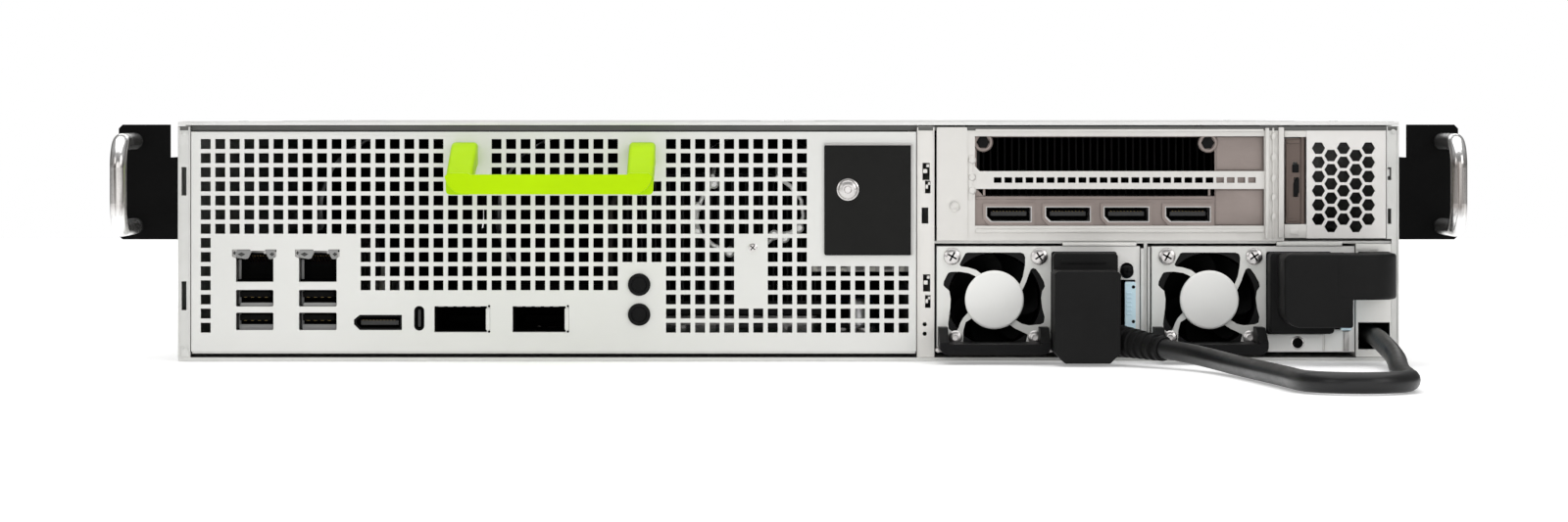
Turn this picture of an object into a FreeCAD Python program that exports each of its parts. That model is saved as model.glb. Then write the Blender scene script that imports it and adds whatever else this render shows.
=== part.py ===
import FreeCAD, Part
import math
import os

# 2u rack server, short depth, all its ports at the front face.
# Millimetres. +Z up, the front face looks along -Y, +X is to the right of a viewer in front of it.
# The origin is under the middle of the body's box, on the surface it stands on.

V = FreeCAD.Vector
os.makedirs("parts", exist_ok=True)

# ---- driving dimensions -------------------------------------------------
BODY_W = 440.0        # chassis width
BODY_H = 86.2         # chassis height, two rack units less the gap
BODY_D = 450.0        # chassis depth
EARS_W = 482.6        # width over the rack ears (19 inch panel)
GRIP = 43.0           # how far the ear handles stand out of the front plane
SHEET = 1.2           # chassis sheet
YF = -(BODY_D - GRIP) / 2   # front plane
YR = YF + BODY_D            # far plane
XL = BODY_W / 2

RACK_HOLE_X = 465.1 / 2     # rack hole columns
RACK_HOLE_Z = 66.7
RACK_SLOT_L = 10.3
RACK_SLOT_R = 3.4

GRID_X0, GRID_Z0 = -210.0, 78.2    # first square hole of the panel
GRID_DX, GRID_DZ = 5.24, 5.095
GRID_HOLE = 3.6
TRAY_X0, TRAY_X1 = -215.2, 46.0
TRAY_Z0, TRAY_Z1 = 3.4, 82.6
TRAY_D = 300.0

PSU_X = (53.4, 130.8)
PSU_W, PSU_Z0, PSU_Z1, PSU_D = 73.3, 3.2, 41.3, 185.0
FAN_C = (20.75, 22.07)      # supply fan centre, from the supply's left edge and the floor

CORD_R = 3.5
CHAN_X = 211.3              # leads' axis in the side channel
LEAD1_Z, LEAD2_Z = 9.0, 31.0
CHAN_END = YR - 55.0

CHASSIS_FAN_R = 38.2
CHASSIS_FAN_X = [-175.6, -94.1, -12.6, 68.9]
CHASSIS_FAN_Z = 42.9

nodes = {}


def keep(name, shape):
    nodes[name] = shape


def box(x0, x1, y0, y1, z0, z1):
    return Part.makeBox(x1 - x0, y1 - y0, z1 - z0, V(x0, y0, z0))


def cyl(x, y, z, r, h, d=(0, 1, 0)):
    return Part.makeCylinder(r, h, V(x, y, z), V(*d))


def rrect(x0, x1, z0, z1, r, y=0.0, corners=(1, 1, 1, 1)):
    """Rounded rectangle in the XZ plane; corners are bottom-left, bottom-right, top-right, top-left."""
    e = []
    cs = [(x0, z0, 1, 1, 180), (x1, z0, -1, 1, 270), (x1, z1, -1, -1, 0), (x0, z1, 1, -1, 90)]
    pts = []
    for k, (cx, cz, sx, sz, a0) in enumerate(cs):
        rr = r * corners[k]
        if rr > 0:
            ox, oz = cx + sx * rr, cz + sz * rr
            a = [math.radians(a0 + t) for t in (0, 45, 90)]
            pts.append([V(ox + rr * math.cos(t), y, oz + rr * math.sin(t)) for t in a])
        else:
            pts.append([V(cx, y, cz)])
    for k in range(4):
        if len(pts[k]) == 3:
            e.append(Part.Arc(*pts[k]).toShape())
        a, b = pts[k][-1], pts[(k + 1) % 4][0]
        if (a - b).Length > 1e-6:
            e.append(Part.LineSegment(a, b).toShape())
    return Part.Wire(e)


def poly(pts, y=0.0):
    q = [V(p[0], y, p[1]) for p in pts]
    return Part.makePolygon(q + [q[0]])


def plate(outer, holes, y0, y1):
    """Flat plate of XZ wires (drawn at y=0), from y0 to y1."""
    f = Part.makeFace([outer] + list(holes), "Part::FaceMakerBullseye")
    s = f.extrude(V(0, y1 - y0, 0))
    s.translate(V(0, y0, 0))
    return s


def circle(x, z, r):
    return Part.Wire([Part.makeCircle(r, V(x, 0, z), V(0, 1, 0))])


def hexagon(x, z, flat):
    r = flat / math.sqrt(3)
    return poly([(x + r * math.cos(math.radians(60 * k)), z + r * math.sin(math.radians(60 * k))) for k in range(6)])


def square(x, z, w, h=None):
    h = w if h is None else h
    return rrect(x - w / 2, x + w / 2, z - h / 2, z + h / 2, 0)


def fuse(*s):
    s = [k for k in s]
    return s[0].multiFuse(s[1:]).removeSplitter() if len(s) > 1 else s[0]


def group(*s):
    """Sheets that meet face to face, kept as separate solids of one node."""
    return Part.makeCompound([k for k in s])


def comb(x0, x1, y0, y1, z0, zb, z1, pitch, t):
    """Heatsink: base plate z0..zb with upright fins to z1, running along Y."""
    n = int((x1 - x0 - t) / pitch)
    off = ((x1 - x0) - (n * pitch + t)) / 2
    pts = [(x0, z0), (x1, z0), (x1, zb)]
    for k in range(n, -1, -1):
        a = x0 + off + k * pitch
        pts += [(a + t, zb), (a + t, z1), (a, z1), (a, zb)]
    pts.append((x0, zb))
    clean = [pts[0]]
    for p in pts[1:]:
        if abs(p[0] - clean[-1][0]) > 1e-6 or abs(p[1] - clean[-1][1]) > 1e-6:
            clean.append(p)
    return plate(poly(clean), [], y0, y1)


# ---- chassis ------------------------------------------------------------
floor = box(-XL, XL, YF, YR, 0, SHEET)
wall_l = box(-XL, -XL + SHEET, YF, YR, SHEET, 84.7)
wall_r = box(XL - SHEET, XL, YF, YR, SHEET, 84.7)
flange_l = box(-XL + SHEET, -215.5, YF, YF + SHEET, SHEET, 84.7)
flange_r = box(215.5, XL - SHEET, YF, YF + SHEET, 44.0, 84.7)
flange_s = box(217.3, XL - SHEET, YF, YF + SHEET, SHEET, 44.0)
cuts = [box(-218.7, -216.9, YF - 1, YF + 2, z0, z1) for z0, z1 in ((59.6, 69.9), (18.3, 28.7))]
cuts += [box(215.4, 217.2, YF - 1, YF + 2, 65.2, 69.8), box(215.4, 217.2, YF - 1, YF + 2, 49.4, 54.9)]
for x in (-150, 0, 150):
    for y in (YF + 60, YR - 60):
        cuts.append(cyl(x, y, -1, 2.0, 3, (0, 0, 1)))
cuts = Part.makeCompound(cuts)
keep("chassis_base", group(floor.cut(cuts), wall_l, wall_r, flange_l.cut(cuts), flange_r.cut(cuts), flange_s))

# wall between the tray bay and the power and card bays, with its slotted front flange
div = box(46.3, 52.6, YF, YF + SHEET, 1.3, 84.6)
cuts = [box(x - w / 2, x + w / 2, YF - 1, YF + 2, z - h / 2, z + h / 2) for x, z, w, h in
        ((49.6, 68.3, 2.6, 6.2), (50.2, 62.7, 2.0, 4.6), (49.2, 52.4, 2.4, 5.8), (49.8, 28.1, 2.6, 6.2), (50.2, 21.4, 2.0, 4.6))]
cuts += [cyl(49.1, YF - 1, z, 0.75, 3) for z in (13.2, 9.8)]
keep("bay_divider", group(div.cut(Part.makeCompound(cuts)), box(51.4, 52.6, YF + SHEET, YF + 300, 1.3, 84.6)))

# shelf over the supplies with the partition that hangs between them
keep("power_shelf", group(box(52.7, 218.7, YF + 2.0, YF + 200, 42.3, 43.2), box(128.2, 129.4, YF + 2.0, YF + 186, 1.3, 42.3)))

# far panel with a square grid in front of each fan and two inlet openings
holes = []
for cx in CHASSIS_FAN_X:
    for i in range(-5, 6):
        for j in range(-5, 6):
            x, z = i * 6.6, j * 6.6
            if math.hypot(x, z) < 35.5:
                holes.append(square(cx + x, CHASSIS_FAN_Z + z, 5.0))
INLET_Z = (12.0, 33.4)
for z in INLET_Z:
    holes.append(rrect(184.8, 209.2, z - 8.2, z + 8.2, 0))
for i in range(9):
    for j in range(5):
        holes.append(square(124 + i * 9.6, 56 + j * 5.6, 7.0, 3.6))
keep("rear_panel", plate(rrect(-218.7, 218.7, 1.3, 84.6, 0), holes, YR - SHEET, YR))

# rack ears: a one-unit-high plate with a flange along the chassis side
for side, s in (("left", -1), ("right", 1)):
    r = 1.4
    out = [(220.0, 43.8), (241.3 - r, 43.8), (241.3, 43.8 + r), (241.3, 85.2 - r), (241.3 - r, 85.2), (222.8, 85.2), (222.8, 73.4), (220.0, 73.4)]
    out = [(s * x, z) for x, z in out]
    sx = s * RACK_HOLE_X
    hw = RACK_SLOT_L / 2
    slot = rrect(sx - hw, sx + hw, RACK_HOLE_Z - RACK_SLOT_R, RACK_HOLE_Z + RACK_SLOT_R, RACK_SLOT_R)
    ear = plate(poly(out), [slot], YF, YF + 2.0)
    a, b = sorted((s * 220.0, s * 222.0))
    ear = fuse(ear, box(a, b, YF + 2.0, YF + 62, 43.8, 73.4))
    keep("rack_ear_" + side, ear)

    # chrome bow handle: one rod bent to a bow, its feet square on the ear
    hx, zt, zb, rr, R, yo = s * 235.5, 79.2, 48.6, 2.95, 9.0, YF - GRIP + 2.95
    c = R * (1 - math.sqrt(0.5))
    path = Part.Wire([
        Part.LineSegment(V(hx, YF, zt), V(hx, yo + R, zt)).toShape(),
        Part.Arc(V(hx, yo + R, zt), V(hx, yo + c, zt - c), V(hx, yo, zt - R)).toShape(),
        Part.LineSegment(V(hx, yo, zt - R), V(hx, yo, zb + R)).toShape(),
        Part.Arc(V(hx, yo, zb + R), V(hx, yo + c, zb + c), V(hx, yo + R, zb)).toShape(),
        Part.LineSegment(V(hx, yo + R, zb), V(hx, YF, zb)).toShape()])
    prof = Part.Wire([Part.makeCircle(rr, V(hx, YF, zt), V(0, -1, 0))])
    rod = path.makePipeShell([prof], True, False)
    keep("ear_handle_" + side, rod)

scr = []
for s in (-1, 1):
    for y in (YF + 14, YF + 46):
        for z in (50.0, 67.0):
            scr.append(cyl(s * 222.0, y, z, 3.0, 1.2, (s, 0, 0)))
keep("ear_screws", Part.makeCompound(scr))

# side channel that the leads run in, and the plate with its two openings
keep("cord_channel", group(plate(rrect(204.5, 217.2, 1.4, 42.2, 0),
                                [rrect(205.3, 216.7, 4.2, 13.9, 0), rrect(205.3, 216.7, 22.0, 39.4, 0)], YF, YF + SHEET),
                          box(204.5, 205.3, YF + SHEET, YR - 60, 1.4, 42.2)))

# ---- card bay -----------------------------------------------------------
upper = poly([(68.9, 68.4), (171.4, 68.4), (171.4, 81.0), (67.2, 81.0), (67.2, 70.2)])
lower = rrect(67.2, 171.4, 48.7, 62.0, 0)
strip = [square(75.4 + 3.817 * k, 65.2, 2.8, 2.0) for k in range(25)]
cage = group(plate(rrect(53.4, 178.6, 43.3, 84.4, 0), [upper, lower] + strip, YF, YF + 1.0),
             box(53.4, 178.6, YF + 1.0, YF + 60, 43.3, 44.1),
             box(177.4, 178.6, YF + 1.0, YF + 60, 44.1, 84.2))
keep("pcie_cage", cage)

vent = [hexagon(191.0 + 4.5 * k, (76.7 if k % 2 == 0 else 74.05) - 5.12 * j, 4.15) for k in range(5) for j in range(6)]
pin_x, pin_y = 185.3, YF + 1.3
vp = fuse(plate(rrect(186.7, 215.3, 44.2, 84.2, 0), vent, YF, YF + 1.0), box(186.7, 187.6, YF + 1.0, YF + 12, 44.2, 84.2))
lugs = fuse(box(184.2, 186.7, YF + 0.2, YF + 2.4, 82.0, 83.0), box(184.2, 186.7, YF + 0.2, YF + 2.4, 46.6, 47.6))
vp = fuse(vp, lugs).cut(cyl(pin_x, pin_y, 45, 0.75, 40, (0, 0, 1)))
keep("vent_panel", vp)

latch = fuse(plate(rrect(179.2, 184.6, 49.6, 80.3, 0.8), [square(182.6, 70.0, 1.6, 3.4), square(183.0, 62.6, 1.6, 7.0)], YF + 0.8, YF + 1.8),
             cyl(pin_x, pin_y, 47.9, 0.95, 33.8, (0, 0, 1)), cyl(pin_x, pin_y, 46.7, 0.66, 36.2, (0, 0, 1)))
keep("card_retention_latch", latch)

DP_X = (79.47, 100.8, 121.9, 144.1)
br_holes = [poly([(70.4, 59.4), (153.8, 59.4), (153.8, 80.7), (67.9, 80.7), (67.9, 61.9)])]
br_holes += [poly([(x - 8.8, 51.6), (x - 6.8, 49.4), (x + 8.8, 49.4), (x + 8.8, 56.2), (x - 8.8, 56.2)]) for x in DP_X]
keep("card_bracket", plate(rrect(65.6, 172.4, 45.8, 83.2, 0), br_holes, YF + 2.4, YF + 3.2))


def dp_profile(x, z0, z1, hw, ch):
    return poly([(x - hw, z0 + ch), (x - hw + ch, z0), (x + hw, z0), (x + hw, z1), (x - hw, z1)])


ports = []
for x in DP_X:
    p = fuse(plate(dp_profile(x, 49.7, 55.9, 8.5, 2.0), [], YF + 1.4, YF + 16), box(x - 8.0, x + 8.0, YF + 5, YF + 16, 47.6, 49.7))
    p = p.cut(plate(dp_profile(x, 50.3, 55.3, 7.9, 1.8), [], YF + 1.0, YF + 10))
    ports.append(fuse(p, box(x - 6.4, x + 6.4, YF + 3.2, YF + 10, 52.6, 53.7)))
keep("card_display_ports", Part.makeCompound(ports))

keep("card_circuit_board", box(68.0, 176.6, YF + 4, YF + 255, 46.0, 47.6))
keep("card_heatsink", comb(70.5, 168.0, YF + 20, YF + 172, 57.2, 59.7, 80.4, 2.6, 0.6))
BLOW = (122.0, YF + 222.0)
shroud = box(67.9, 176.2, YF + 8, YF + 262, 82.3, 83.6).cut(cyl(BLOW[0], BLOW[1], 80, 30.0, 6, (0, 0, 1)))
keep("card_shroud", group(shroud, box(67.9, 69.2, YF + 8, YF + 262, 48.1, 82.3), box(174.9, 176.2, YF + 8, YF + 262, 48.1, 82.3),
                          box(69.2, 174.9, YF + 260.7, YF + 262, 48.1, 82.3)))


def blade_ring(cx, cy, z0, z1, r0, r1, n, t, tilt):
    out = []
    for k in range(n):
        b = Part.makeBox(r1 - r0, t, z1 - z0, V(r0, -t / 2, z0))
        b.rotate(V(r0, 0, 0), V(0, 0, 1), tilt)
        b.rotate(V(0, 0, 0), V(0, 0, 1), 360.0 * k / n)
        b.translate(V(cx, cy, 0))
        out.append(b)
    return out


rot = fuse(cyl(BLOW[0], BLOW[1], 50.0, 31.0, 1.4, (0, 0, 1)), cyl(BLOW[0], BLOW[1], 51.4, 14.0, 26.0, (0, 0, 1)),
           *blade_ring(BLOW[0], BLOW[1], 51.4, 78.0, 22.0, 30.6, 28, 0.9, 28))
keep("card_blower_rotor", rot)
keep("riser_board", fuse(box(183.0, 184.6, YF + 60, YF + 160, 44.0, 82.0), box(176.9, 183.0, YF + 66, YF + 155, 44.6, 49.4)))

# ---- lid ----------------------------------------------------------------
LID_SCREWS = [(x, y) for x in (-200.0, 0.0, 200.0) for y in (YF + 30, YR - 30)]
lid = box(-XL, XL, YF, YR, 85.0, BODY_H).cut(Part.makeCompound([cyl(x, y, 84, 3.05, 4, (0, 0, 1)) for x, y in LID_SCREWS]))
keep("top_cover", group(lid, box(-218.3, -217.3, YF + 8, YR - 6, 76.0, 85.0), box(217.3, 218.3, YF + 8, YR - 6, 76.0, 85.0)))
keep("cover_screws", Part.makeCompound([cyl(x, y, 85.0, 3.0, 1.1, (0, 0, 1)) for x, y in LID_SCREWS]))

# ---- input and output tray ----------------------------------------------


def hole_at(i, j):
    if i > 41 and j < 9:
        return False
    if j <= 2 and (17 <= i <= 19 or 29 <= i <= 31):
        return False
    if i == 0:
        return True
    if 1 <= i <= 10 and j >= 7:
        return False
    if 11 <= i <= 31 and j >= 11:
        return False
    if 29 <= i <= 31 and j >= 9:
        return False
    if i in (37, 38) and 7 <= j <= 11:
        return False
    return True


holes = []
for i in range(49):
    for j in range(14):
        if hole_at(i, j):
            holes.append(square(GRID_X0 + GRID_DX * i, GRID_Z0 - GRID_DZ * j, GRID_HOLE))
JACK_X = ((-199.1, -185.6), (-176.4, -162.8))
for x0, x1 in JACK_X:
    xm = (x0 + x1) / 2
    holes.append(poly([(x0, 28.5), (x1, 28.5), (x1, 37.0), (x1 + 1.1, 37.6), (x1 + 1.1, 40.2), (xm + 3.9, 40.2), (xm + 3.6, 39.7),
                       (xm - 1.4, 39.7), (xm - 1.7, 40.2), (x0 - 1.4, 40.2), (x0 - 1.4, 37.6), (x0, 37.0)]))
    for z0, z1 in ((19.6, 25.6), (11.1, 17.4)):
        holes.append(rrect(x0, x1, z0, z1, 0.5))
holes.append(poly([(-156.6, 13.2), (-154.5, 11.1), (-139.3, 11.1), (-139.3, 16.6), (-154.5, 16.6), (-156.6, 14.9)]))
holes.append(rrect(-134.9, -131.2, 10.9, 19.8, 1.8))
CAGE_X = ((-127.6, -107.5), (-99.4, -79.1))
for x0, x1 in CAGE_X:
    holes.append(rrect(x0, x1, 10.3, 19.7, 0))
AUDIO = ((-53.8, 27.5), (-53.8, 16.7))
holes += [circle(x, z, 4.05) for x, z in AUDIO]
holes.append(circle(-12.9, 40.8, 2.1))
holes.append(rrect(16.0, 41.0, 41.5, 74.5, 0))
keep("io_panel", plate(rrect(TRAY_X0, TRAY_X1, TRAY_Z0, TRAY_Z1, 0), holes, YF, YF + SHEET))

pan = [box(-215.0, 45.8, YF + SHEET, YF + TRAY_D, 2.6, 3.6), box(-215.0, -214.0, YF + SHEET, YF + TRAY_D, 3.6, 24.0),
       box(44.8, 45.8, YF + SHEET, YF + TRAY_D, 3.6, 24.0)]
keep("tray_pan", group(*pan))

# pull handle: two legs that slope out and down to a bar
leg = [(YF, 78.8), (YF, 69.4), (YF - 27.5, 60.6), (YF - 36.0, 60.6), (YF - 36.0, 66.4), (YF - 34.5, 68.2), (YF - 5.0, 78.8)]


def leg_prism(x0, x1):
    q = [V(x0, p[0], p[1]) for p in leg]
    return Part.Face(Part.makePolygon(q + [q[0]])).extrude(V(x1 - x0, 0, 0))


GX0, GX1 = -121.3, -47.9
grip = fuse(leg_prism(GX0, GX0 + 9.4), leg_prism(GX1 - 9.4, GX1), box(GX0 + 9.4, GX1 - 9.4, YF - 36.0, YF - 27.5, 60.6, 67.4))
grip = grip.common(plate(rrect(GX0, GX1, 60.6, 80.0, 7.3, 0, (1, 1, 0, 0)), [], YF - 40, YF))
keep("pull_handle", grip)

keep("access_cover", plate(rrect(12.9, 44.3, 38.1, 77.9, 0.8), [], YF - 1.0, YF))
posts = [cyl(x, y, 3.6, 3.0, 4.4, (0, 0, 1)) for x in (-200, -86, 28) for y in (YF + 30, YF + 125, YF + 240)]
keep("tray_screws", Part.makeCompound([cyl(21.4, YF - 2.6, 61.8, 3.35, 1.6), cyl(-12.9, YF + 0.1, 40.8, 1.9, 1.0)] + posts))

keep("motherboard", box(-208.0, 36.0, YF + 4, YF + 248, 8.0, 9.6))
keep("processor_heatsink", fuse(comb(-64.0, 14.0, YF + 62, YF + 170, 14.0, 19.0, 66.0, 2.6, 0.6), box(-54.0, 4.0, YF + 80, YF + 152, 9.6, 14.0)))
mods = []
for k in range(4):
    x = -196.0 + 10.0 * k
    mods.append(fuse(box(x - 3.2, x + 3.2, YF + 60, YF + 202, 9.6, 16.0), box(x - 0.6, x + 0.6, YF + 64, YF + 198, 16.0, 43.0)))
keep("memory_modules", Part.makeCompound(mods))

for n, (x0, x1) in enumerate(JACK_X):
    y0, y1, y2 = YF + 1.3, YF + 13, YF + 15
    b = [box(x0 - 1.9, x0, y0, YF + 24, 9.6, 42.6), box(x1, x1 + 1.9, y0, YF + 24, 9.6, 42.6),
         box(x0, x1, y0, y2, 40.4, 42.6), box(x0, x0 + 3.6, y0, y2, 38.6, 40.4), box(x1 - 3.6, x1, y0, y2, 38.6, 40.4),
         box(x0, x1, y0, y2, 25.6, 28.5), box(x0, x1, y0, y1, 17.4, 19.6), box(x0, x1, y0, y1, 9.6, 11.1),
         box(x0, x1, y2, YF + 24, 25.6, 42.6), box(x0, x1, y1, YF + 24, 9.6, 25.6),
         box(x0 + 1.2, x1 - 1.2, YF + 3.0, y1, 23.0, 24.8), box(x0 + 1.2, x1 - 1.2, YF + 3.0, y1, 14.6, 16.4)]
    keep("network_usb_jacks_%d" % (n + 1), group(*b))
keep("displayport_jack", group(box(-158.4, -156.6, YF + 1.3, YF + 20, 9.6, 18.2), box(-139.3, -137.5, YF + 1.3, YF + 20, 9.6, 18.2),
                               box(-156.6, -139.3, YF + 1.3, YF + 10, 16.6, 18.2), box(-156.6, -139.3, YF + 1.3, YF + 10, 9.6, 11.1),
                               box(-156.6, -139.3, YF + 10, YF + 20, 9.6, 18.2), box(-154.4, -141.4, YF + 3, YF + 10, 13.6, 14.8)))
b = box(-136.2, -129.9, YF + 1.3, YF + 11, 9.6, 21.0).cut(plate(rrect(-134.9, -131.2, 10.9, 19.8, 1.8), [], YF, YF + 8))
keep("usb_c_jack", fuse(b, box(-133.4, -132.7, YF + 2.4, YF + 8, 12.2, 18.5)))
cg = []
for x0, x1 in CAGE_X:
    cg += [box(x0 - 0.8, x0, YF + 1.3, YF + 50, 9.6, 20.6), box(x1, x1 + 0.8, YF + 1.3, YF + 50, 9.6, 20.6),
           box(x0, x1, YF + 1.3, YF + 50, 19.7, 20.6), box(x0, x1, YF + 1.3, YF + 50, 9.6, 10.4), box(x0, x1, YF + 49, YF + 50, 10.4, 19.7)]
keep("module_cages", Part.makeCompound(cg))
b = box(-59.4, -48.2, YF + 1.3, YF + 15, 9.6, 33.4)
for x, z in AUDIO:
    b = fuse(b, cyl(x, YF - 0.6, z, 3.95, 1.9))
b = b.cut(Part.makeCompound([cyl(x, YF - 1, z, 1.85, 14) for x, z in AUDIO]))
keep("audio_jacks", b)

# ---- power supplies -----------------------------------------------------


def strut(cx, cz, pts, w, y0, y1):
    """Curved rib through pts (from the hub centre) of width w, in the XZ plane."""
    left, right = [], []
    for k, (x, z) in enumerate(pts):
        a = pts[max(k - 1, 0)]
        b = pts[min(k + 1, len(pts) - 1)]
        dx, dz = b[0] - a[0], b[1] - a[1]
        L = math.hypot(dx, dz)
        nx, nz = -dz / L * w / 2, dx / L * w / 2
        left.append((cx + x + nx, cz + z + nz))
        right.append((cx + x - nx, cz + z - nz))
    return plate(poly(left + right[::-1]), [], y0, y1)


for n, X0 in enumerate(PSU_X):
    N = "psu_%d_" % (n + 1)
    cx, cz = X0 + FAN_C[0], FAN_C[1]
    case = box(X0, X0 + PSU_W, YF + 1, YF + PSU_D, PSU_Z0, PSU_Z1).cut(
        box(X0 + 1, X0 + PSU_W - 1, YF + 2.2, YF + PSU_D - 1, PSU_Z0 + 1, PSU_Z1 - 1))
    c = [box(X0 + 1.2, X0 + 40.4, YF, YF + 3, 4.4, 40.1), box(X0 + 42.4, X0 + 63.6, YF, YF + 3, 10.6, 38.4),
         box(X0 + 66.2, X0 + 71.6, YF, YF + 3, 10.6, 29.2), cyl(X0 + 52.7, YF, 6.46, 2.4, 3), cyl(X0 + 68.6, YF, 33.0, 2.4, 3)]
    for k in range(9):
        c.append(box(X0 + 8 + 7 * k, X0 + 11 + 7 * k, YF + PSU_D - 3, YF + PSU_D + 1, 16, 37))
    case = case.cut(Part.makeCompound(c))
    case = fuse(case, box(X0 + 12, X0 + 60, YF + PSU_D, YF + PSU_D + 2.4, 9.0, 10.6))
    keep(N + "case", case)

    # fan housing: guard plate with four swirled struts to the hub disc, and the fan's frame behind it
    outer = rrect(X0, X0 + 41.3, PSU_Z0, PSU_Z1, 0.8)
    opening = rrect(X0 + 2.9, X0 + 39.5, 6.0, 39.6, 4.0)
    g = [plate(outer, [opening], YF - 0.5, YF + 1.0), cyl(cx, YF - 0.9, cz, 10.45, 1.9)]
    for px, pz in ((-15.2, 15.6), (16.2, 15.6), (-14.0, -13.6), (14.6, -13.6)):
        g.append(cyl(cx + px, YF - 0.5, cz + pz, 4.3 if pz > 0 else 3.0, 1.5))
    for a in ((-16.5, 11.0), (-12.0, 10.6), (-8.5, 8.8), (-6.5, 6.0)), ((11.6, 16.5), (11.2, 12.0), (9.0, 8.2), (6.4, 6.0)), \
            ((16.5, -11.6), (12.0, -11.2), (8.4, -9.2), (6.2, -6.4)), ((-11.8, -16.0), (-11.4, -12.0), (-9.2, -8.4), (-6.4, -6.2)):
        g.append(strut(cx, cz, a, 1.7, YF - 0.5, YF + 1.0))
    frame = box(X0 + 1.5, X0 + 40.1, YF + 1.0, YF + 28, 4.7, 39.9).cut(cyl(cx, YF, cz, 16.9, 30))
    g.append(frame)
    keep(N + "fan_guard", fuse(*g))

    blades = []
    for k in range(7):
        b = Part.makeBox(1.3, 15.0, 13.4, V(-0.65, -7.5, 0))
        b.rotate(V(0, 0, 0), V(0, 0, 1), 38)
        b.translate(V(0, 13.5, 2.6))
        b.rotate(V(0, 0, 0), V(0, 1, 0), 360.0 * k / 7)
        blades.append(b)
    rot = fuse(cyl(0, 3.5, 0, 9.6, 21.0), *blades)
    rot = rot.common(cyl(0, 0, 0, 16.3, 30))
    rot.translate(V(cx, YF, cz))
    keep(N + "fan_rotor", rot)

    # scoop-shaped pull handle around the bottom of the fan
    u = [(0.4, 3.25), (39.9, 3.25), (39.9, 12.4), (36.6, 12.4), (36.6, 7.0), (3.7, 7.0), (3.7, 12.4), (0.4, 12.4)]
    h = plate(poly([(X0 + a, b) for a, b in u]), [], YF - 22, YF - 0.5)
    taper = Part.Face(Part.makePolygon([V(X0 - 1, YF - 23, 3), V(X0 - 1, YF, 3), V(X0 - 1, YF, 13), V(X0 - 1, YF - 9, 13),
                                        V(X0 - 1, YF - 22, 7.6), V(X0 - 1, YF - 23, 7.6), V(X0 - 1, YF - 23, 3)])).extrude(V(44, 0, 0))
    h = h.common(taper)
    h = h.common(plate(rrect(X0 + 0.4, X0 + 39.9, 3.25, 13, 3.0, 0, (1, 1, 0, 0)), [], YF - 24, YF))
    keep(N + "handle", h)

    # release latch: an upright thumb pad with a wider foot, on a spring strip that goes back into the case
    lt = fuse(plate(rrect(X0 + 67.2, X0 + 71.0, 11.4, 28.8, 0.6), [], YF - 9, YF - 6.5),
              box(X0 + 68.6, X0 + 71.0, YF - 6.5, YF - 0.2, 12.0, 28.2), box(X0 + 70.2, X0 + 71.0, YF - 0.2, YF + 45, 13.0, 27.0))
    keep(N + "release_latch", lt)

    # power inlet
    inl = fuse(plate(rrect(X0 + 41.4, X0 + 64.8, 9.7, 39.4, 0.8), [], YF - 0.6, YF + 1.0), box(X0 + 42.6, X0 + 63.4, YF + 1.0, YF + 21, 10.8, 38.2))
    inl = inl.cut(box(X0 + 44.8, X0 + 61.2, YF - 1, YF + 18, 12.2, 36.8))
    pins = [box(X0 + 52.4, X0 + 53.6, YF + 3, YF + 18.5, 22.5, 26.5), box(X0 + 48.2, X0 + 49.4, YF + 3, YF + 18.5, 15.5, 19.5),
            box(X0 + 48.2, X0 + 49.4, YF + 3, YF + 18.5, 29.5, 33.5)]
    keep(N + "inlet", fuse(inl, *pins))

pb = fuse(box(53.2, 203.8, YF + 190.0, YF + 191.6, 2.0, 41.4),
          *[fuse(box(x + 9, x + 63, YF + 186.0, YF + 190.0, 5.6, 14.0)).cut(box(x + 11.4, x + 60.6, YF + 185, YF + 189, 8.6, 11.0)) for x in PSU_X])
keep("power_distribution_board", pb)

# ---- leads --------------------------------------------------------------


def nose(X0):
    """The connector end that goes into the inlet, with slots for its pins."""
    s = box(X0 + 45.2, X0 + 60.8, YF - 1.0, YF + 15.5, 12.6, 36.4)
    c = [box(X0 + 51.8, X0 + 54.2, YF + 1, YF + 16, 21.9, 27.1), box(X0 + 47.6, X0 + 50.0, YF + 1, YF + 16, 14.9, 20.1),
         box(X0 + 47.6, X0 + 50.0, YF + 1, YF + 16, 28.9, 34.1)]
    return s.cut(Part.makeCompound(c))


X1, X2 = PSU_X
ROUTE = [  # lead 1, from its plug's relief, out along the floor and back into the side channel: x, distance in front, z
    (131.5, 42.0, 6.6), (140.6, 54.6, 5.4), (147.2, 73.0, 4.3), (151.2, 95.0, 3.7), (153.8, 118.0, 3.6), (155.6, 140.0, 3.6),
    (157.0, 160.0, 3.6), (157.9, 177.8, 3.6), (163.7, 187.9, 3.6), (174.2, 193.9, 3.6), (186.0, 193.9, 3.6), (196.4, 187.9, 3.6),
    (202.4, 177.8, 3.6), (202.7, 156.0, 3.6), (204.0, 129.0, 3.6), (206.4, 101.5, 3.6), (209.2, 75.5, 3.6), (211.3, 52.0, 4.6),
    (211.8, 28.0, 6.4), (211.3, 4.0, 9.0), (211.3, -18.0, 9.0)]
ROUTE = [V(x, YF - d, z) for x, d, z in ROUTE]

body = plate(poly([(93.8, 4.4), (97.4, 0.7), (113.8, 0.7), (117.4, 4.4), (117.4, 32.4), (116.2, 33.6), (95.0, 33.6), (93.8, 32.4)]), [], YF - 34, YF - 9)
head = plate(rrect(94.9, 117.9, 10.2, 39.2, 1.2), [], YF - 12, YF - 1.0)
d1 = ROUTE[1] - ROUTE[0]
d1.normalize()
relief = Part.makeCone(6.2, 4.3, 34.0, ROUTE[0] - d1 * 34.0, d1)
keep("plug_1", fuse(body, head, nose(X1), relief))


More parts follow.
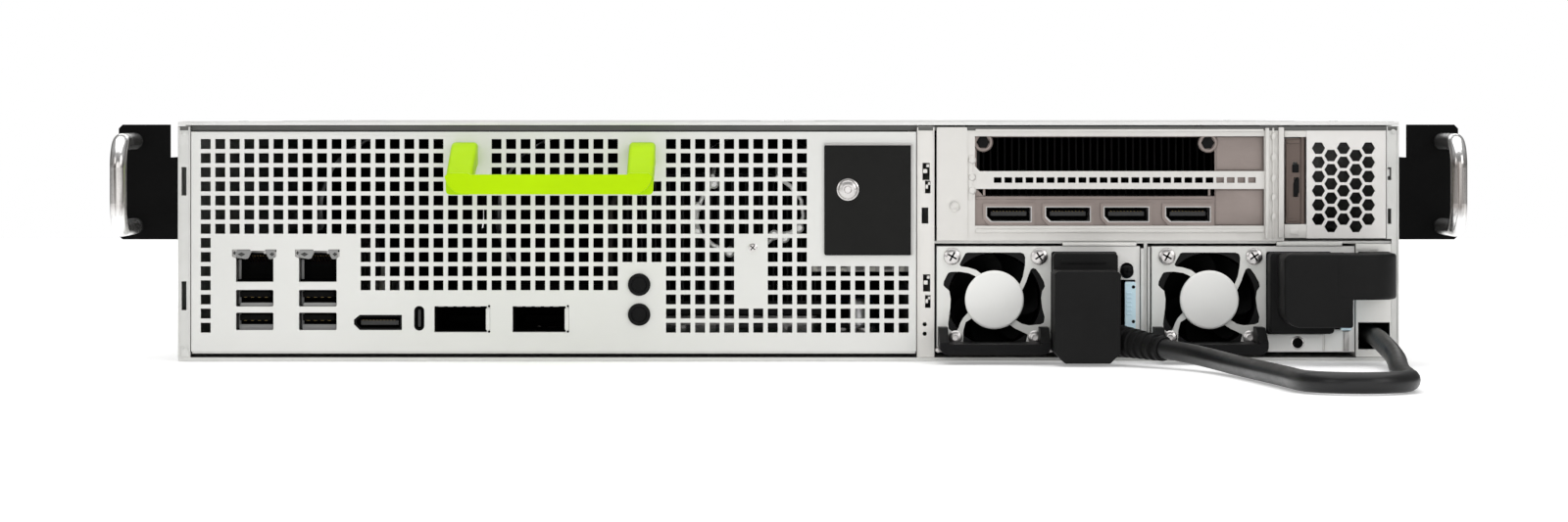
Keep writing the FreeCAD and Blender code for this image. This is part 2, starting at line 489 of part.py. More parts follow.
def tube(points, r):
    edges, prev, rad = [], points[0], []
    for k in range(1, len(points) - 1):
        a, p, b = points[k - 1], points[k], points[k + 1]
        u, w = (p - a), (b - p)
        lu, lw = u.Length, w.Length
        u, w = u * (1 / lu), w * (1 / lw)
        turn = math.acos(max(-1, min(1, u.dot(w))))
        R = 0.45 * min(lu, lw) / math.tan(turn / 2)
        rad.append(R)
        t = 0.45 * min(lu, lw)
        s, e = p - u * t, p + w * t
        bis = (w - u)
        bis.normalize()
        mid = p + bis * (R / math.cos(turn / 2) - R)
        edges.append(Part.LineSegment(prev, s).toShape())
        edges.append(Part.Arc(s, mid, e).toShape())
        prev = e
    edges.append(Part.LineSegment(prev, points[-1]).toShape())
    wire = Part.Wire(edges)
    prof = Part.Wire([Part.makeCircle(r, points[0], points[1] - points[0])])
    s = wire.makePipeShell([prof], True, False)
    print("cord: length %.1f, least radius %.1f, volume ratio %.4f, solid %s, lowest %.2f" % (
        wire.Length, min(rad), s.Volume / (math.pi * r * r * wire.Length), s.isValid(), s.BoundBox.ZMin))
    print("cord radii:", " ".join("%.0f" % q for q in rad))
    return s


keep("cord_1", tube(ROUTE, CORD_R))
keep("cord_1_inner", cyl(CHAN_X, YF + 18, LEAD1_Z, CORD_R, CHAN_END - YF - 18))

b2 = plate(rrect(174.8, 199.3, 13.3, 39.6, 6.0, 0, (1, 0, 0, 0.3)), [], YF - 34, YF - 11)
h2 = plate(rrect(172.3, 195.4, 10.2, 39.2, 1.2), [], YF - 12, YF - 1.0)
arm = [(199.3, 30.0), (206.0, 30.0)]
arm_e = [Part.LineSegment(V(199.0, YF - 30, 23.2), V(205.6, YF - 30, 23.2)).toShape(),
         Part.Arc(V(205.6, YF - 30, 23.2), V(213.03, YF - 26.93, 23.2), V(216.1, YF - 19.5, 23.2)).toShape(),
         Part.LineSegment(V(216.1, YF - 19.5, 23.2), V(216.1, YF + 10, 23.2)).toShape(),
         Part.LineSegment(V(216.1, YF + 10, 23.2), V(206.5, YF + 10, 23.2)).toShape(),
         Part.LineSegment(V(206.5, YF + 10, 23.2), V(206.5, YF - 9, 23.2)).toShape(),
         Part.LineSegment(V(206.5, YF - 9, 23.2), V(199.0, YF - 12, 23.2)).toShape(),
         Part.LineSegment(V(199.0, YF - 12, 23.2), V(199.0, YF - 30, 23.2)).toShape()]
arm = Part.Face(Part.Wire(arm_e)).extrude(V(0, 0, 15.6))
keep("plug_2", fuse(b2, h2, nose(X2), arm))
keep("cord_2", cyl(CHAN_X, YF + 10, LEAD2_Z, CORD_R, CHAN_END - YF - 10))

inlets = []
for z in INLET_Z:
    inlets += [box(180.0, 217.6, YR - 54.9, YR - 19, z - 10.2, z + 10.2),
               box(180.0, 184.8, YR - 19, YR - 1.3, z - 10.2, z + 10.2), box(209.2, 217.6, YR - 19, YR - 1.3, z - 10.2, z + 10.2),
               box(184.8, 209.2, YR - 19, YR - 1.3, z - 10.2, z - 8.2), box(184.8, 209.2, YR - 19, YR - 1.3, z + 8.2, z + 10.2)]
keep("rear_inlets", Part.makeCompound(inlets))

# ---- chassis fans -------------------------------------------------------
frames = []
for x in CHASSIS_FAN_X:
    w = box(x - 40.65, x + 40.65, YR - 40, YR - 1.3, 1.4, 84.4).cut(cyl(x, YR - 42, CHASSIS_FAN_Z, CHASSIS_FAN_R, 44))
    sp = [cyl(x, YR - 6.3, CHASSIS_FAN_Z, 17.0, 5.0)]
    for k in range(4):
        b = box(0, 39.0, -5, 0, -1.6, 1.6)
        b.rotate(V(0, 0, 0), V(0, 1, 0), 45 + 90 * k)
        b.translate(V(x, YR - 1.3, CHASSIS_FAN_Z))
        sp.append(b)
    frames.append(fuse(w, *sp))
keep("fan_carrier", Part.makeCompound(frames))
for n, x in enumerate(CHASSIS_FAN_X):
    blades = []
    for k in range(7):
        b = Part.makeBox(1.8, 30.0, 24.0, V(-0.9, -15.0, 0))
        b.rotate(V(0, 0, 0), V(0, 0, 1), 46)
        b.translate(V(0, 16.0, 13.5))
        b.rotate(V(0, 0, 0), V(0, 1, 0), 360.0 * k / 7)
        blades.append(b)
    rot = fuse(cyl(0, 2, 0, 17.5, 28.0), *blades).common(cyl(0, 1, 0, 37.2, 29.5))
    rot.translate(V(x, YR - 38, CHASSIS_FAN_Z))
    keep("chassis_fan_rotor_%d" % (n + 1), rot)

total = 0
for name, s in nodes.items():
    for k in s.Solids:
        if not k.isValid():
            print("INVALID", name)
    if name in ("chassis_base", "top_cover") or len(s.Solids) > 1:
        print(name, "solids", len(s.Solids))
    if len(s.Solids) == 0:
        print("NO SOLID", name)
    s.exportStep("parts/%s.step" % name)
    total += s.Volume
print(len(nodes), "nodes")
bb = Part.makeCompound([s for n, s in nodes.items() if n not in ("plug_1", "cord_1", "cord_1_inner", "plug_2", "cord_2")]).BoundBox
print("box without leads: x %.2f %.2f y %.2f %.2f z %.2f %.2f" % (bb.XMin, bb.XMax, bb.YMin, bb.YMax, bb.ZMin, bb.ZMax))
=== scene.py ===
import bpy
import bmesh
import math
import random
from mathutils import Vector, Matrix


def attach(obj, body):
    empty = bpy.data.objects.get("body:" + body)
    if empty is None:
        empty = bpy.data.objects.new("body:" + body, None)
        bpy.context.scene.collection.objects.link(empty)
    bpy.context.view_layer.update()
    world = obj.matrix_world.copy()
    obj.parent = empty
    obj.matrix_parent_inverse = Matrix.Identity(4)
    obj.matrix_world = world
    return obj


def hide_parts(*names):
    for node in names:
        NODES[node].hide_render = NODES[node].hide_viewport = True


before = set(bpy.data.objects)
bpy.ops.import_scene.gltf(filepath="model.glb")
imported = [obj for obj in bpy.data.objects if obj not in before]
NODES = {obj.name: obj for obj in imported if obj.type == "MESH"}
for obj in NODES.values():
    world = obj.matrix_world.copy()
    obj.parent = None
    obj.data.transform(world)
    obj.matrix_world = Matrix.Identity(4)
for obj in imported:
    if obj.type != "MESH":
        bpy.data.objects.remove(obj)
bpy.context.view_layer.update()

rnd = random.Random(7)

MM = 0.001
YF, YR = -203.5, 246.5          # front and far planes of the body, in millimetres
PSU = (53.4, 130.8)             # left edges of the two supplies
FAN_C = (20.75, 22.07)

# ------------------------------------------------------------------ materials


def srgb(r, g, b):
    return tuple(((c / 255.0) / 12.92 if c / 255.0 <= 0.04045 else ((c / 255.0 + 0.055) / 1.055) ** 2.4) for c in (r, g, b)) + (1.0,)


class Nodes:
    """Small helper that wires a Principled material."""

    def __init__(self, name):
        self.m = bpy.data.materials.new(name)
        self.m.use_nodes = True
        self.t = self.m.node_tree
        self.t.nodes.clear()
        self.out = self.t.nodes.new("ShaderNodeOutputMaterial")
        self.p = self.t.nodes.new("ShaderNodeBsdfPrincipled")
        self.t.links.new(self.p.outputs[0], self.out.inputs[0])
        self.co = self.t.nodes.new("ShaderNodeTexCoord")

    def link(self, a, b):
        self.t.links.new(a, b)

    def mapping(self, scale):
        mp = self.t.nodes.new("ShaderNodeMapping")
        mp.inputs["Scale"].default_value = scale
        self.link(self.co.outputs["Object"], mp.inputs["Vector"])
        return mp.outputs[0]

    def noise(self, scale, detail=4.0, rough=0.55, stretch=(1, 1, 1), distort=0.0):
        n = self.t.nodes.new("ShaderNodeTexNoise")
        n.inputs["Scale"].default_value = scale
        n.inputs["Detail"].default_value = detail
        n.inputs["Roughness"].default_value = rough
        n.inputs["Distortion"].default_value = distort
        self.link(self.mapping(stretch), n.inputs["Vector"])
        return n.outputs[0]

    def voronoi(self, scale, feature="F1", stretch=(1, 1, 1), out="Color"):
        n = self.t.nodes.new("ShaderNodeTexVoronoi")
        n.feature = feature
        n.inputs["Scale"].default_value = scale
        self.link(self.mapping(stretch), n.inputs["Vector"])
        return n.outputs[out]

    def ramp(self, fac, stops, interp="LINEAR"):
        r = self.t.nodes.new("ShaderNodeValToRGB")
        r.color_ramp.interpolation = interp
        while len(r.color_ramp.elements) < len(stops):
            r.color_ramp.elements.new(0.5)
        for e, (pos, col) in zip(r.color_ramp.elements, stops):
            e.position = pos
            e.color = col if len(col) == 4 else (col[0], col[1], col[2], 1)
        self.link(fac, r.inputs[0])
        return r.outputs[0]

    def maprange(self, fac, a, b, lo=0.3, hi=0.7):
        r = self.t.nodes.new("ShaderNodeMapRange")
        r.inputs["From Min"].default_value = lo
        r.inputs["From Max"].default_value = hi
        r.inputs["To Min"].default_value = a
        r.inputs["To Max"].default_value = b
        self.link(fac, r.inputs["Value"])
        return r.outputs[0]

    def mix(self, fac, a, b, mode="MIX"):
        x = self.t.nodes.new("ShaderNodeMix")
        x.data_type = "RGBA"
        x.blend_type = mode
        for sock, val in (("Factor", fac), ("A", a), ("B", b)):
            i = [s for s in x.inputs if s.name == sock and (s.type == ("VALUE" if sock == "Factor" else "RGBA"))][0]
            if isinstance(val, bpy.types.NodeSocket):
                self.link(val, i)
            elif sock == "Factor":
                i.default_value = val
            else:
                i.default_value = val if len(val) == 4 else (*val, 1)
        return [s for s in x.outputs if s.type == "RGBA"][0]

    def math(self, op, a, b=0.0):
        x = self.t.nodes.new("ShaderNodeMath")
        x.operation = op
        for i, v in enumerate((a, b)):
            if isinstance(v, bpy.types.NodeSocket):
                self.link(v, x.inputs[i])
            else:
                x.inputs[i].default_value = v
        return x.outputs[0]

    def xyz(self):
        s = self.t.nodes.new("ShaderNodeSeparateXYZ")
        self.link(self.co.outputs["Object"], s.inputs[0])
        return s.outputs

    def bump(self, height, strength=0.2, dist=0.0002):
        b = self.t.nodes.new("ShaderNodeBump")
        b.inputs["Strength"].default_value = strength
        b.inputs["Distance"].default_value = dist
        self.link(height, b.inputs["Height"])
        self.link(b.outputs[0], self.p.inputs["Normal"])

    def set(self, **kw):
        for k, v in kw.items():
            s = self.p.inputs[k.replace("_", " ")]
            if isinstance(v, bpy.types.NodeSocket):
                self.link(v, s)
            else:
                s.default_value = v
        return self


def shade(c, k):
    return (min(c[0] * k, 1), min(c[1] * k, 1), min(c[2] * k, 1), 1)


def sheet_metal(name, col, metal=0.75, rough=(0.34, 0.5), grain=(1, 1, 1), spangle=0.0, var=0.06, smudge=0.05):
    """Plated or satin sheet: soft mottling, rolling streaks, faint smudges, and a fine tooth."""
    n = Nodes(name)
    big = n.noise(14, 3, 0.5)
    streak = n.noise(260, 3, 0.6, grain)
    c = n.ramp(big, [(0.3, shade(col, 1 - var)), (0.7, shade(col, 1 + var))])
    c = n.mix(0.35, c, n.ramp(streak, [(0.25, shade(col, 1 - var)), (0.75, shade(col, 1 + var * 0.7))]))
    if spangle:
        v = n.voronoi(170)
        c = n.mix(spangle, c, n.ramp(v, [(0.0, shade(col, 0.9)), (1.0, shade(col, 1.08))]))
    r = n.mix(smudge * 6, n.maprange(streak, rough[0], rough[1]), n.maprange(n.noise(45, 5, 0.65, distort=0.6), rough[0], rough[1] + 0.1))
    n.set(Base_Color=c, Metallic=metal, Roughness=r)
    n.bump(n.noise(2600, 2, 0.6, grain), 0.12, 0.00008)
    return n.m


def moulded(name, col, rough=(0.4, 0.52), grain=1800, strength=0.18, var=0.08, spec=0.5, coat=0.0, sss=0.0):
    """Injection-moulded plastic or rubber with a fine spark-eroded texture."""
    n = Nodes(name)
    c = n.ramp(n.noise(30, 4, 0.6), [(0.3, shade(col, 1 - var)), (0.7, shade(col, 1 + var))])
    dust = n.noise(420, 6, 0.7)
    c = n.mix(n.maprange(dust, 0.0, 0.004, 0.6, 0.8), c, (0.5, 0.5, 0.5, 1))
    n.set(Base_Color=c, Roughness=n.maprange(n.noise(90, 4, 0.6), rough[0], rough[1]))
    n.p.inputs["Specular IOR Level"].default_value = spec
    if coat:
        n.p.inputs["Coat Weight"].default_value = coat
    if sss:
        n.p.inputs["Subsurface Weight"].default_value = sss
        n.p.inputs["Subsurface Radius"].default_value = (0.004, 0.004, 0.001)
        n.p.inputs["Subsurface Scale"].default_value = 0.5
    n.bump(n.noise(grain, 3, 0.6), strength, 0.0001)
    return n.m


def polished(name, col, rough=(0.05, 0.12), var=0.03, metal=1.0):
    n = Nodes(name)
    c = n.ramp(n.noise(60, 3, 0.5), [(0.3, shade(col, 1 - var)), (0.7, shade(col, 1 + var))])
    n.set(Base_Color=c, Metallic=metal, Roughness=n.maprange(n.noise(120, 5, 0.65), rough[0], rough[1]))
    n.bump(n.noise(900, 2, 0.5), 0.03, 0.00005)
    return n.m


def chrome_with_painted_reflections(name):
    """Bright bow with painted reflections: near-white plating colour at the bends, a darker base colour with dark
    streaks down the straight run, and dark sides where the surface faces left or right; the streaks also give a faint
    bump.
    """
    n = Nodes(name)
    z = n.xyz()[2]
    near = n.math("ABSOLUTE", n.math("SUBTRACT", z, 0.0639))
    straight = n.maprange(near, 1.0, 0.0, 0.0075, 0.0125)
    lines = n.noise(520, 2, 0.6, (1, 1, 0.03), 0.3)
    wide = n.noise(190, 1, 0.5, (1, 1, 0.05))
    # painted reflection: the straight run's base colour darkened and streaked with dark lines
    run = n.mix(n.maprange(wide, 0.0, 1.0, 0.42, 0.58), (0.3, 0.275, 0.26, 1), (0.62, 0.6, 0.585, 1))
    run = n.mix(n.maprange(lines, 0.85, 0.0, 0.38, 0.5), run, (0.1, 0.08, 0.07, 1))
    side = n.t.nodes.new("ShaderNodeSeparateXYZ")
    n.link(n.co.outputs["Normal"], side.inputs[0])
    # painted reflection: base colour turned dark where the surface faces left or right
    painted_dark_flank = n.maprange(n.math("ABSOLUTE", side.outputs[0]), 0.0, 0.75, 0.72, 0.97)
    c = n.mix(straight, (0.93, 0.925, 0.92, 1), run)
    c = n.mix(painted_dark_flank, c, (0.16, 0.15, 0.145, 1))
    n.set(Base_Color=c, Metallic=0.9, Roughness=n.maprange(n.noise(120, 5, 0.65), 0.14, 0.24))
    n.bump(lines, 0.06, 0.0001)
    return n.m


def board(name, col, track, scale=1.0):
    """Lacquered circuit board: tracks in two directions, vias, a fibre weave under the lacquer."""
    n = Nodes(name)
    xyz = n.xyz()
    cell = n.voronoi(48 * scale, out="Color")
    sep = n.t.nodes.new("ShaderNodeSeparateColor")
    n.link(cell, sep.inputs[0])
    cols = []
    for axis, pick in ((0, 0), (1, 1)):
        wave = n.math("FRACT", n.math("MULTIPLY", xyz[axis], 620 * scale))
        line = n.math("LESS_THAN", wave, 0.42)
        on = n.math("GREATER_THAN", sep.outputs[pick], 0.55)
        cols.append(n.math("MULTIPLY", line, on))
    tracks = n.math("MAXIMUM", cols[0], cols[1])
    vias = n.math("LESS_THAN", n.voronoi(330 * scale, out="Distance"), 0.13)
    c = n.ramp(n.noise(22, 4, 0.6), [(0.3, shade(col, 0.85)), (0.7, shade(col, 1.15))])
    c = n.mix(n.math("MULTIPLY", tracks, 0.7), c, track)
    c = n.mix(n.math("MULTIPLY", vias, 0.65), c, (0.42, 0.36, 0.2, 1))
    n.set(Base_Color=c, Roughness=n.maprange(n.noise(160, 4, 0.6), 0.24, 0.4))
    n.p.inputs["Coat Weight"].default_value = 0.3
    n.bump(n.math("ADD", n.math("MULTIPLY", tracks, 0.6), n.math("MULTIPLY", n.noise(1400, 2, 0.5), 0.25)), 0.35, 0.00006)
    return n.m


MAT = {}
MAT["chassis"] = sheet_metal("chassis_zinc", srgb(206, 206, 203), 0.55, (0.36, 0.52), (0.15, 1, 1), 0.25, 0.05)
MAT["panel"] = sheet_metal("panel_satin", srgb(216, 216, 213), 0.35, (0.42, 0.55), (0.3, 1, 1), 0.0, 0.035)
MAT["lid"] = sheet_metal("lid_zinc", srgb(224, 224, 222), 0.42, (0.36, 0.52), (1, 0.12, 1), 0.35, 0.06)
MAT["divider"] = sheet_metal("divider_zinc", srgb(214, 212, 208), 0.5, (0.36, 0.5), (1, 1, 0.2), 0.2, 0.06)
MAT["cage"] = sheet_metal("card_cage_zinc", srgb(210, 208, 204), 0.4, (0.36, 0.5), (0.2, 1, 1), 0.15, 0.06)
MAT["vent"] = sheet_metal("vent_satin", srgb(222, 220, 217), 0.35, (0.4, 0.52), (0.3, 1, 1), 0.1, 0.04)
MAT["channel"] = sheet_metal("channel_zinc", srgb(232, 231, 227), 0.25, (0.4, 0.55), (1, 1, 0.3), 0.1, 0.04)
MAT["nickel"] = sheet_metal("bracket_nickel", srgb(140, 129, 124), 0.55, (0.3, 0.48), (0.25, 1, 1), 0.35, 0.28, 0.1)
MAT["nickel_dark"] = sheet_metal("latch_nickel", srgb(98, 86, 80), 0.6, (0.32, 0.5), (1, 1, 0.25), 0.2, 0.26, 0.1)
MAT["psu"] = sheet_metal("supply_steel", srgb(228, 227, 224), 0.32, (0.38, 0.52), (0.3, 1, 1), 0.2, 0.05)
MAT["guard"] = moulded("fan_guard_white", srgb(226, 226, 222), (0.34, 0.46), 1600, 0.1, 0.03)
MAT["disc"] = moulded("hub_disc_white", srgb(246, 246, 243), (0.4, 0.5), 2000, 0.06, 0.015)
MAT["ear"] = moulded("ear_powder_black", srgb(10, 10, 10), (0.55, 0.68), 1500, 0.3, 0.12, 0.05)
MAT["cover"] = moulded("cover_powder_black", srgb(24, 24, 23), (0.48, 0.6), 1700, 0.2, 0.12, 0.12)
MAT["chrome"] = chrome_with_painted_reflections("handle_chrome")
MAT["screw"] = polished("plated_screw", (0.62, 0.6, 0.59, 1), (0.22, 0.36), 0.08)
# near-white and barely metallic: painted glint for polished wire
MAT["glint"] = sheet_metal("clip_painted_glint", srgb(250, 250, 248), 0.25, (0.2, 0.35), (1, 1, 1), 0.0, 0.04)
MAT["shell"] = polished("tinned_shell", (0.42, 0.41, 0.4, 1), (0.28, 0.44), 0.12, 0.8)
MAT["gold"] = polished("gold_contact", (0.3, 0.22, 0.09, 1), (0.25, 0.4), 0.1)
# near-black heat pipes: painted shade of the closed box's inside
MAT["copper"] = polished("heat_pipe_painted_shade", (0.06, 0.055, 0.05, 1), (0.35, 0.5), 0.1)
MAT["lime"] = moulded("grip_lime", srgb(176, 219, 0), (0.36, 0.48), 1500, 0.16, 0.05, 0.07)
MAT["plastic"] = moulded("black_plastic", srgb(10, 10, 11), (0.44, 0.56), 1900, 0.2, 0.12, 0.12)
# matt black for real black parts, and painted shade in screw recesses, connector openings and the insides of jacks and
# cages
MAT["matt_black_and_shade"] = moulded("black_matt_and_painted_shade", srgb(9, 9, 9), (0.65, 0.8), 1400, 0.2, 0.1, 0.08)
MAT["fan"] = moulded("fan_black", srgb(13, 13, 13), (0.4, 0.52), 1700, 0.12, 0.1, 0.15)
MAT["latch"] = moulded("latch_blue", srgb(212, 240, 253), (0.34, 0.46), 1700, 0.12, 0.03, 0.5, 0.0, 0.1)
MAT["rubber"] = moulded("lead_rubber", srgb(19, 19, 19), (0.5, 0.62), 2200, 0.22, 0.12, 0.13)
MAT["cord"] = moulded("cord_jacket", srgb(20, 20, 21), (0.3, 0.4), 2600, 0.12, 0.1, 0.36)
MAT["board"] = board("main_board_lacquer", (0.012, 0.03, 0.02, 1), (0.03, 0.075, 0.045, 1))
MAT["card_board"] = board("card_board_lacquer", (0.006, 0.007, 0.008, 1), (0.02, 0.022, 0.026, 1), 1.3)
# near-black cooler fins: painted shade of the closed box's inside
MAT["fins"] = sheet_metal("fins_dark", (0.012, 0.012, 0.013, 1), 0.3, (0.5, 0.6), (1, 0.2, 1), 0.0, 0.15)
MAT["card_fins"] = moulded("card_fins_black", srgb(7, 7, 7), (0.5, 0.62), 1500, 0.2, 0.2, 0.08)
MAT["ic"] = moulded("chip_epoxy", (0.012, 0.012, 0.013, 1), (0.34, 0.5), 1200, 0.2, 0.15)
MAT["can"] = polished("capacitor_can", (0.75, 0.75, 0.76, 1), (0.25, 0.4), 0.05)
MAT["choke"] = moulded("choke_ferrite", (0.06, 0.06, 0.065, 1), (0.55, 0.7), 900, 0.4, 0.15)
MAT["white"] = moulded("connector_white", srgb(225, 223, 214), (0.4, 0.55), 1500, 0.12, 0.04)
MAT["blue"] = moulded("connector_blue", srgb(40, 80, 150), (0.4, 0.5), 1500, 0.12, 0.05)
# also paints the shade at the network jacks' mouth corners
MAT["lens"] = moulded("indicator_lens_and_corner_shade", srgb(46, 46, 45), (0.15, 0.25), 1500, 0.05, 0.05, 0.5)
MAT["tongue"] = moulded("jack_tongue_grey", srgb(52, 52, 52), (0.45, 0.6), 1800, 0.15, 0.08, 0.3)
# painted shadow: grey for the shaded gap under the lid's lip
MAT["gasket"] = moulded("lid_gap_painted_shade_grey", srgb(98, 98, 96), (0.7, 0.85), 900, 0.5, 0.12, 0.2)
MAT["mouth"] = sheet_metal("jack_mouth_tin", srgb(136, 136, 135), 0.35, (0.4, 0.55), (1, 1, 1), 0.0, 0.2)
MAT["wall"] = sheet_metal("jack_wall_tin", srgb(118, 118, 118), 0.3, (0.45, 0.6), (1, 1, 1), 0.0, 0.12)
MAT["cable"] = moulded("cable_grey", srgb(120, 118, 116), (0.45, 0.6), 1500, 0.2, 0.06)

LOOK = {
    "chassis_base": "chassis", "bay_divider": "divider", "power_shelf": "chassis", "rear_panel": "panel", "top_cover": "lid",
    "cord_channel": "channel", "io_panel": "panel", "tray_pan": "chassis", "pcie_cage": "cage", "vent_panel": "vent",
    "rack_ear_left": "ear", "rack_ear_right": "ear", "access_cover": "cover", "ear_handle_left": "chrome", "ear_handle_right": "chrome",
    "ear_screws": "screw", "cover_screws": "screw", "tray_screws": "screw", "pull_handle": "lime", "card_bracket": "nickel",
    "card_retention_latch": "nickel_dark", "network_usb_jacks_1": "shell", "network_usb_jacks_2": "shell", "displayport_jack": "plastic",
    "usb_c_jack": "plastic", "module_cages": "shell", "card_display_ports": "shell", "audio_jacks": "plastic", "rear_inlets": "plastic",
    "psu_1_inlet": "plastic", "psu_2_inlet": "plastic", "psu_1_handle": "plastic", "psu_2_handle": "plastic", "card_shroud": "fan",
    "fan_carrier": "fan", "card_blower_rotor": "fan", "psu_1_case": "psu", "psu_2_case": "psu", "psu_1_fan_guard": "guard",
    "psu_2_fan_guard": "guard", "psu_1_release_latch": "latch", "psu_2_release_latch": "latch", "motherboard": "board",
    "memory_modules": "card_board", "riser_board": "board", "card_circuit_board": "card_board", "power_distribution_board": "board",
    "processor_heatsink": "fins", "card_heatsink": "card_fins", "cord_1": "cord", "cord_1_inner": "cord", "cord_2": "cord",
    "plug_1": "rubber", "plug_2": "rubber", "psu_1_fan_rotor": "fan", "psu_2_fan_rotor": "fan", "chassis_fan_rotor_1": "fan",
    "chassis_fan_rotor_2": "fan", "chassis_fan_rotor_3": "fan", "chassis_fan_rotor_4": "fan",
}
for name, o in NODES.items():
    o.data.materials.clear()
    o.data.materials.append(MAT[LOOK[name]])

# ------------------------------------------------------------------ mesh tools


def rr(x0, x1, z0, z1, r, n=6):
    """Rounded rectangle as points, anticlockwise."""
    out = []
    for cx, cz, a0 in ((x1 - r, z1 - r, 0), (x0 + r, z1 - r, 90), (x0 + r, z0 + r, 180), (x1 - r, z0 + r, 270)):
        if r <= 0:
            out.append((cx, cz))
            continue
        for k in range(n + 1):
            a = math.radians(a0 + 90.0 * k / n)
            out.append((cx + r * math.cos(a), cz + r * math.sin(a)))
    return out


def ring(cx, cz, r, n=32):
    return [(cx + r * math.cos(2 * math.pi * k / n), cz + r * math.sin(2 * math.pi * k / n)) for k in range(n)]


def to3(a, b, c, axis):
    """A point drawn as (a, b) in the plane across axis, at c along it, in metres."""
    v = {"x": (c, a, b), "y": (a, c, b), "z": (a, b, c)}[axis]
    return Vector(v) * MM


class Piece:
    """Collects solids in one mesh; sizes in millimetres."""

    def __init__(self):
        self.bm = bmesh.new()

    def _take(self, t, mi, r=0.0, seg=2, m=None):
        bmesh.ops.recalc_face_normals(t, faces=t.faces)
        if r > 0:
            edges = [e for e in t.edges if len(e.link_faces) == 2 and e.calc_face_angle(0) > 0.5]
            bmesh.ops.bevel(t, geom=edges, offset=r * MM, segments=seg, profile=0.6, affect="EDGES", clamp_overlap=True)
        if m is not None:
            bmesh.ops.transform(t, matrix=m, verts=t.verts)
        for f in t.faces:
            f.material_index = mi
        me = bpy.data.meshes.new("t")
        t.to_mesh(me)
        t.free()
        self.bm.from_mesh(me)
        bpy.data.meshes.remove(me)
        return self

    def box(self, x0, x1, y0, y1, z0, z1, r=0.0, seg=2, mi=0, m=None):
        t = bmesh.new()
        bmesh.ops.create_cube(t, size=1)
        for v in t.verts:
            v.co = Vector(((x0 + x1) / 2 + v.co.x * (x1 - x0), (y0 + y1) / 2 + v.co.y * (y1 - y0), (z0 + z1) / 2 + v.co.z * (z1 - z0))) * MM
        return self._take(t, mi, r, seg, m)

    def prism(self, pts, a, b, r=0.0, seg=2, mi=0, axis="y", m=None):
        t = bmesh.new()
        lo = [t.verts.new(to3(p[0], p[1], a, axis)) for p in pts]
        hi = [t.verts.new(to3(p[0], p[1], b, axis)) for p in pts]
        t.faces.new(lo)
        t.faces.new(hi[::-1])
        for k in range(len(pts)):
            j = (k + 1) % len(pts)
            t.faces.new((lo[k], hi[k], hi[j], lo[j]))
        return self._take(t, mi, r, seg, m)

    def plate(self, outer, holes, a, b, mi=0, axis="y", m=None):
        """Flat plate with holes."""
        t = bmesh.new()
        edges = []
        for loop in [outer] + list(holes):
            vs = [t.verts.new(to3(p[0], p[1], a, axis)) for p in loop]
            edges += [t.edges.new((vs[k], vs[(k + 1) % len(vs)])) for k in range(len(vs))]
        n = {"x": (1, 0, 0), "y": (0, 1, 0), "z": (0, 0, 1)}[axis]
        bmesh.ops.triangle_fill(t, use_beauty=True, use_dissolve=False, edges=edges, normal=n)
        faces = t.faces[:]
        got = bmesh.ops.extrude_face_region(t, geom=faces)
        vs = [g for g in got["geom"] if isinstance(g, bmesh.types.BMVert)]
        bmesh.ops.translate(t, verts=vs, vec=Vector(n) * (b - a) * MM)
        return self._take(t, mi, 0, 1, m)

    def lathe(self, prof, c, axis="y", n=32, mi=0, m=None):
        """Turned shape: prof is (radius, place along the axis), closed at both ends."""
        t = bmesh.new()
        rings = []
        for r, s in prof:
            if r < 1e-6:
                rings.append([t.verts.new(to3(0, 0, s, axis))])
            else:
                rings.append([t.verts.new(to3(r * math.cos(2 * math.pi * k / n), r * math.sin(2 * math.pi * k / n), s, axis)) for k in range(n)])
        for a, b in zip(rings, rings[1:]):
            for k in range(n):
                j = (k + 1) % n
                if len(a) == 1 and len(b) == 1:
                    continue
                if len(a) == 1:
                    t.faces.new((a[0], b[k], b[j]))
                elif len(b) == 1:
                    t.faces.new((a[k], a[j], b[0]))
                else:
                    t.faces.new((a[k], a[j], b[j], b[k]))
        for e in (rings[0], rings[-1]):
            if len(e) > 1:
                t.faces.new(e)
        base = Matrix.Translation(Vector(c) * MM)
        return self._take(t, mi, 0, 1, base if m is None else m @ base)

    def cyl(self, c, axis, r, h, n=24, bev=0.0, mi=0, m=None):
        """Cylinder from c along axis for h, with an eased far rim."""
        s = 1 if h > 0 else -1
        b = min(bev, abs(h) / 2, r / 2)
        prof = [(r, 0), (r, h - s * b)]
        if b > 0:
            prof += [(r - b * 0.3, h - s * b * 0.3), (r - b, h)]
        prof = [(0, 0)] + prof + [(0, h)]
        return self.lathe(prof, c, axis, n, mi, m)

    def tube(self, pts, r, n=12, mi=0, closed=False):
        """Round bar along points in millimetres; r may be a list."""
        P = [Vector(p) * MM for p in pts]
        N = len(P)
        t = bmesh.new()
        up = Vector((0, 0, 1))
        d0 = (P[1] - P[0]).normalized()
        if abs(d0.dot(up)) > 0.9:
            up = Vector((1, 0, 0))
        side = d0.cross(up).normalized()
        rings = []
        for k in range(N):
            a = P[(k - 1) % N] if (closed or k > 0) else P[k]
            b = P[(k + 1) % N] if (closed or k < N - 1) else P[k]
            d = (b - a).normalized()
            side = (side - d * side.dot(d)).normalized()
            nor = d.cross(side)
            rad = (r[k] if isinstance(r, (list, tuple)) else r) * MM
            rings.append([t.verts.new(P[k] + (side * math.cos(2 * math.pi * q / n) + nor * math.sin(2 * math.pi * q / n)) * rad) for q in range(n)])
        pairs = list(zip(rings, rings[1:])) + ([(rings[-1], rings[0])] if closed else [])
        for a, b in pairs:
            for q in range(n):
                j = (q + 1) % n
                t.faces.new((a[q], a[j], b[j], b[q]))
        if not closed:
            t.faces.new(rings[0])
            t.faces.new(rings[-1])
        return self._take(t, mi)

